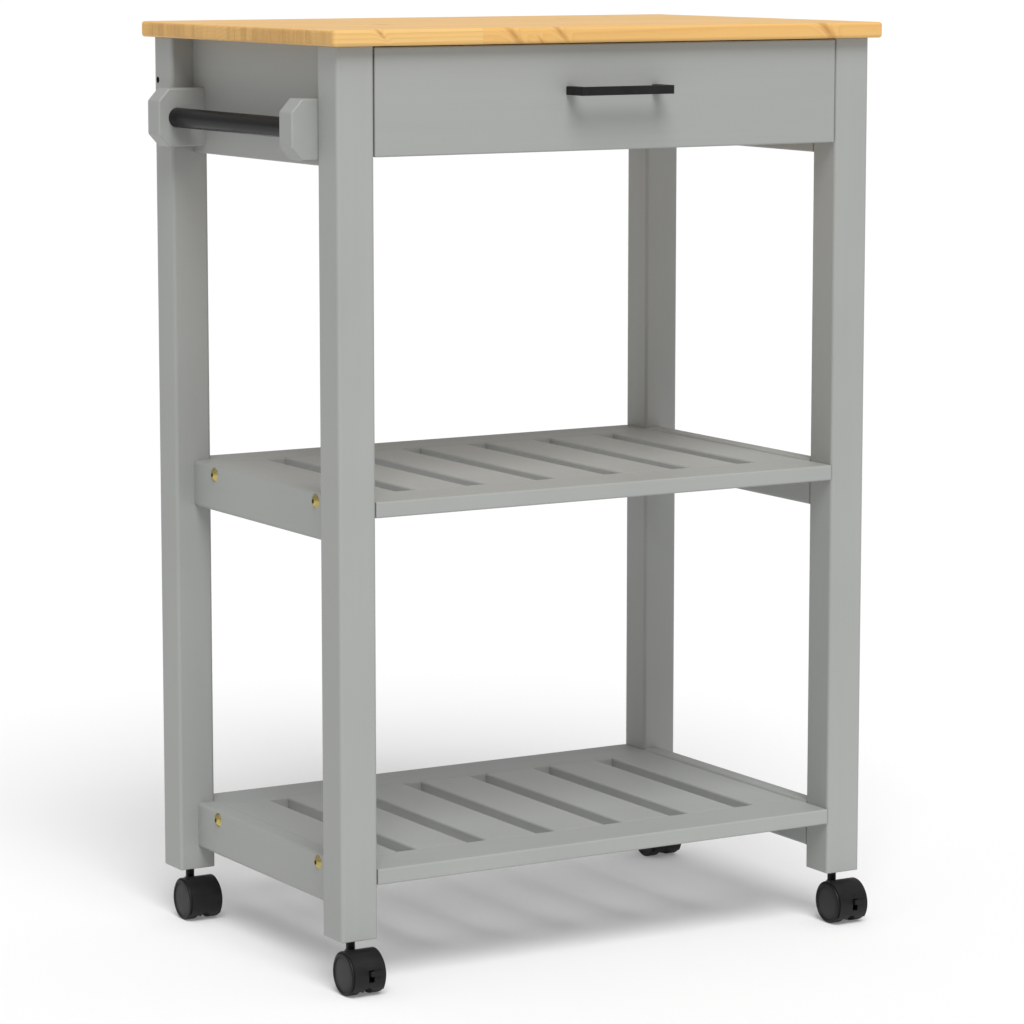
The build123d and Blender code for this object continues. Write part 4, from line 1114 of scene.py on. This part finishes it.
class CART_OT_towel_rail(bpy.types.Operator):
    """Build the towel bar and its two painted brackets"""

    bl_idname = "cart.towel_rail"
    bl_label = "Towel rail"

    def execute(self, context):
        low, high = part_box("towel_bar")
        radius, length = (high.x - low.x) / 2, high.y - low.y
        rounding = 1.0 * MM
        corner = arc((radius - rounding, rounding), rounding, -90, 0, 3)
        far = [(r, length - z) for r, z in reversed(corner)]
        straight, count = length - 2 * rounding, 12
        rings = [(radius, rounding + straight * step / count) for step in range(1, count)]
        centre = ((low.x + high.x) / 2, low.y, (low.z + high.z) / 2)
        builder = lathe([(0, 0), *corner, *rings, *far, (0, length)], 64, "y", centre)
        bar = shade(mesh_piece("towel_bar_rod", builder, "black_enamel"))
        seat(bar, ROOT, "black_metal", "towel_bar")
        for end in ("front", "back"):
            self.bracket(end, low, high)
        return {"FINISHED"}

    def bracket(self, end, bar_low, bar_high):
        """A painted block, its outer corners cut back, with a blind hole for the bar."""
        node = f"towel_bracket_{end}"
        low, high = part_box(node)
        out, up = 11.0 * MM, 12.0 * MM
        outline = [(high.x, low.z), (high.x, high.z), (low.x + out, high.z), (low.x, high.z - up),
                   (low.x, low.z + up), (low.x + out, low.z)]

        def weight_of(edge):
            at_apron = all(abs(v.co.x - high.x) < TINY for v in edge.verts)
            return 0.12 if at_apron else 1.0

        builder = prism(outline, AXES["y"], low.y, high.y, (range(len(outline)),))
        weigh_edges(builder, weight_of)
        radius = (bar_high.x - bar_low.x) / 2 + 0.15 * MM
        centre = (bar_low + bar_high) / 2
        mouth = (centre.x, high.y if end == "front" else low.y, centre.z)
        cutter = hole_cutter(radius, 10.2 * MM, 48, "y", mouth, flip=end == "front")
        piece = mesh_piece(f"{node}_block", builder, "paint_y")
        round_edges(piece, "eased edges", 1.5 * MM, segments=4)
        cut_holes(piece, [cutter])
        smooth_flats(piece, 28)
        made_plain(piece)
        bpy.data.objects.remove(cutter)
        seat(piece, ROOT, "grey_paint", node)


class CART_OT_shelves(bpy.types.Operator):
    """Build both shelves: rails, a row of slats from a node tree, and bolts"""

    bl_idname = "cart.shelves"
    bl_label = "Shelves"

    def execute(self, context):
        sizes = context.scene.cart_sizes
        for shelf in SHELVES:
            for end in ("front", "back"):
                board_of(f"{shelf}_shelf_{end}_rail", "x", sizes.board_edge, ROOT)
            for side in ("left", "right"):
                board_of(f"{shelf}_shelf_side_rail_{side}", "y", sizes.rail_edge, ROOT)
            self.slats(shelf, sizes)
        place_fasteners("shelf_bolt_heads", "shelf_bolts", bolt_profile, 48, "brass_plate",
                        ROOT, "brass", 11)
        return {"FINISHED"}

    def slats(self, shelf, sizes):
        """One row of slats, fitted between the front and back rails."""
        low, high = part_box(f"{shelf}_shelf_slats")
        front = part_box(f"{shelf}_shelf_front_rail")[1].y
        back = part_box(f"{shelf}_shelf_back_rail")[0].y
        full = sizes.slat_count * sizes.slat_pitch - sizes.slat_gap
        mesh = bpy.data.meshes.new("slats")
        piece = link(bpy.data.objects.new(f"{shelf}_shelf_slat_row", mesh))
        set_tree(piece, shared_tree(slat_tree), {
            "Centre": ((low.x + high.x) / 2, (front + back) / 2, (low.z + high.z) / 2),
            "Count": sizes.slat_count, "Pitch": sizes.slat_pitch,
            "Width": sizes.slat_pitch - sizes.slat_gap,
            "End trim": (full - (high.x - low.x)) / 2,
            "Length": back - front, "Thickness": high.z - low.z,
            "Finish": finish_of("paint_y")})
        made_plain(piece)
        weights = piece.data.attributes.new(BEVEL_WEIGHT, "FLOAT", "EDGE")
        reach = [v.co.y for v in piece.data.vertices]
        ends = [edge.vertices for edge in piece.data.edges]
        half = (back - front) / 2
        values = [1.0 if abs(reach[a] - reach[b]) > half else 0.3 for a, b in ends]
        weights.data.foreach_set("value", values)
        round_edges(piece, "eased edges", sizes.slat_edge, segments=3)
        smooth_flats(piece)
        made_plain(piece)
        self.mark_slats(piece.data)
        seat(piece, ROOT, "grey_paint", f"{shelf}_shelf_slats")

    def mark_slats(self, mesh):
        """Mark the rounded edges of every slat for wear and a painted highlight."""
        worn = np.zeros(len(mesh.vertices), np.float32)
        for polygon in mesh.polygons:
            if max(abs(part) for part in polygon.normal) < 0.97:
                for vertex in polygon.vertices:
                    worn[vertex] += 0.5
        layer = mesh.attributes.new("edge", "FLOAT", "POINT")
        layer.data.foreach_set("value", np.clip(worn, 0.0, 1.0))


class CART_OT_joinery(bpy.types.Operator):
    """Finish the dowels, angles, nuts and sockets, and build the screws"""

    bl_idname = "cart.joinery"
    bl_label = "Joinery and screws"

    def execute(self, context):
        keep_node("dowels", "bare_pine_y")
        for node in ("worktop_angles", "barrel_nuts", "caster_sockets"):
            keep_node(node, "zinc_plate")
        for kind, profile, body, seed in (
                ("worktop_screw", pan_profile, ROOT, 2),
                ("wood_screw", countersunk_profile, ROOT, 3),
                ("apron_screw", slim_pan_profile, ROOT, 4),
                ("drawer_screw", countersunk_profile, DRAWER, 6)):
            place_fasteners(f"{kind}_heads", f"{kind}s", profile, 24, "zinc_plate", body, "steel",
                            seed)
        return {"FINISHED"}


class CART_OT_casters(bpy.types.Operator):
    """Build the four casters' wheels and finish their hoods, axles, stems and levers"""

    bl_idname = "cart.casters"
    bl_label = "Casters"

    def execute(self, context):
        keep_node("caster_stems", "hood_nylon")
        for corner in CORNERS:
            keep_node(f"caster_body_{corner}", "hood_nylon")
            keep_node(f"caster_axle_{corner}", "zinc_plate")
            for side in ("left", "right"):
                self.wheel(corner, side)
        for corner in BRAKED:
            keep_node(f"brake_lever_{corner}", "hood_nylon")
        return {"FINISHED"}

    def wheel(self, corner, side):
        """A moulded wheel with a rounded tread, a raised rim and a dished disc."""
        node = f"caster_wheel_{corner}_{side}"
        low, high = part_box(node)
        radius, width = (high.z - low.z) / 2, high.x - low.x
        tread, face = radius / MM, width / MM
        bore, bore_depth, hub, soft = 2.56, 10.0, 8.0, 1.8 * MM
        profile = in_metres((0, bore_depth), (bore, bore_depth), (bore, 0.3), (bore + 0.3, 0),
                            (hub, 0), (hub + 0.4, 0.5), (tread - 4.6, 0.5), (tread - 4.2, 0))
        profile += arc((radius - soft, soft), soft, -90, 0, 5)
        profile += [(radius, width / 2)]
        profile += arc((radius - soft, width - soft), soft, 0, 90, 5)
        profile += in_metres(
            (tread - 2.6, face), (tread - 3.1, face - 0.25), (tread - 3.4, face - 0.8),
            (12.0, face - 0.62), (6.0, face - 0.45), (0, face - 0.4))
        outside_left = side == "left"
        start = high.x if outside_left else low.x
        centre = (start, (low.y + high.y) / 2, (low.z + high.z) / 2)
        builder = lathe(profile, 64, "x", centre, flip=outside_left)
        piece = shade(mesh_piece(f"{node}_disc", builder, "wheel_nylon"), 30)
        self.mark_rim_shade(piece.data, centre, radius)
        seat(piece, f"wheel_{corner}_{side}", "caster_wheel", node)

    def mark_rim_shade(self, mesh, centre, radius):
        """Mark the tread and the rim for painted shade, the shade in the gap under the hood."""
        layer = mesh.attributes.new("rim", "FLOAT", "POINT")
        values = [math.hypot(v.co.y - centre[1], v.co.z - centre[2]) > radius - 3.5 * MM
                  for v in mesh.vertices]
        layer.data.foreach_set("value", values)


def aim(piece, heading):
    """Turn a light or a camera so that it looks along a heading, with its top up."""
    piece.rotation_mode = "QUATERNION"
    piece.rotation_quaternion = heading.to_track_quat("-Z", "Y")


class CART_OT_stage(bpy.types.Operator):
    """Lay the floor and set the light and the camera"""

    bl_idname = "cart.stage"
    bl_label = "Stage"

    def execute(self, context):
        stage = context.scene.cart_stage
        self.floor(context)
        world = bpy.data.worlds.new("even sky")
        context.scene.world = world
        world.use_nodes = True
        sky = world.node_tree.nodes["Background"]
        sky.inputs["Color"].default_value = (1.0, 1.0, 1.0, 1.0)
        sky.inputs["Strength"].default_value = stage.sky_strength
        sun = bpy.data.lights.new("key", "SUN")
        sun.energy = stage.sun_strength
        sun.angle = stage.sun_softness
        key = link(bpy.data.objects.new("key", sun))
        aim(key, Vector(stage.sun_heading))
        camera = bpy.data.cameras.new("camera")
        camera.lens = stage.camera_lens
        camera.sensor_width = SENSOR_WIDTH
        camera.clip_end = FAR_CLIP
        eye = link(bpy.data.objects.new("camera", camera))
        turn, pitch = stage.camera_turn, stage.camera_pitch
        level = math.cos(pitch)
        eye.location = stage.camera_place
        aim(eye, Vector((math.sin(turn) * level, math.cos(turn) * level, -math.sin(pitch))))
        context.scene.camera = eye
        context.scene.view_settings.view_transform = "Standard"
        return {"FINISHED"}

    def floor(self, context):
        """A wide pale floor with faint mottling."""
        builder = bmesh.new()
        bmesh.ops.create_grid(builder, x_segments=2, y_segments=2, size=FLOOR_HALF_WIDTH)
        piece = mesh_piece("floor", builder)
        material, tree, shader, place = new_material("pale_floor")
        colour = tuple(context.scene.cart_colours.floor)
        cloud = noise(tree, place, scale=3.0, detail=3.0)
        body = mix_colour(tree, cloud, tinted(colour, 0.99), tinted(colour, 1.01))
        tree.links.new(body, shader.inputs["Base Color"])
        shader.inputs["Roughness"].default_value = 0.9
        shader.inputs["Specular IOR Level"].default_value = 0.1
        tree.links.new(body, shader.inputs["Emission Color"])
        shader.inputs["Emission Strength"].default_value = context.scene.cart_stage.floor_glow
        piece.data.materials.append(material)


class CART_PT_panel(bpy.types.Panel):
    """Lists the cart's settings and the steps that build it"""

    bl_idname = "CART_PT_panel"
    bl_label = "Kitchen Island Cart"
    bl_space_type = "VIEW_3D"
    bl_region_type = "UI"
    bl_category = "Cart"

    def draw(self, context):
        scene = context.scene
        for group in (scene.cart_sizes, scene.cart_colours, scene.cart_stage):
            box = self.layout.box()
            for name in group.__annotations__:
                box.prop(group, name)
        for operator in STEPS:
            self.layout.operator(operator.bl_idname)


STEPS = (CART_OT_stage, CART_OT_worktop, CART_OT_frame_boards, CART_OT_drawer, CART_OT_handle,
         CART_OT_towel_rail, CART_OT_shelves, CART_OT_joinery, CART_OT_casters)
GROUPS = {"cart_sizes": CartSizes, "cart_colours": CartColours, "cart_stage": CartStage}


def register():
    """Register the settings, the operators and the panel."""
    for name, group in GROUPS.items():
        bpy.utils.register_class(group)
        setattr(bpy.types.Scene, name, bpy.props.PointerProperty(type=group))
    for operator in STEPS:
        bpy.utils.register_class(operator)
    bpy.utils.register_class(CART_PT_panel)


def unregister():
    """Take everything back out, in reverse order."""
    bpy.utils.unregister_class(CART_PT_panel)
    for operator in reversed(STEPS):
        bpy.utils.unregister_class(operator)
    for name, group in reversed(GROUPS.items()):
        delattr(bpy.types.Scene, name)
        bpy.utils.unregister_class(group)


def main():
    """Build every piece in order."""
    register()
    for step in STEPS:
        group, action = step.bl_idname.split(".")
        getattr(getattr(bpy.ops, group), action)()


if __name__ == "__main__":
    main()
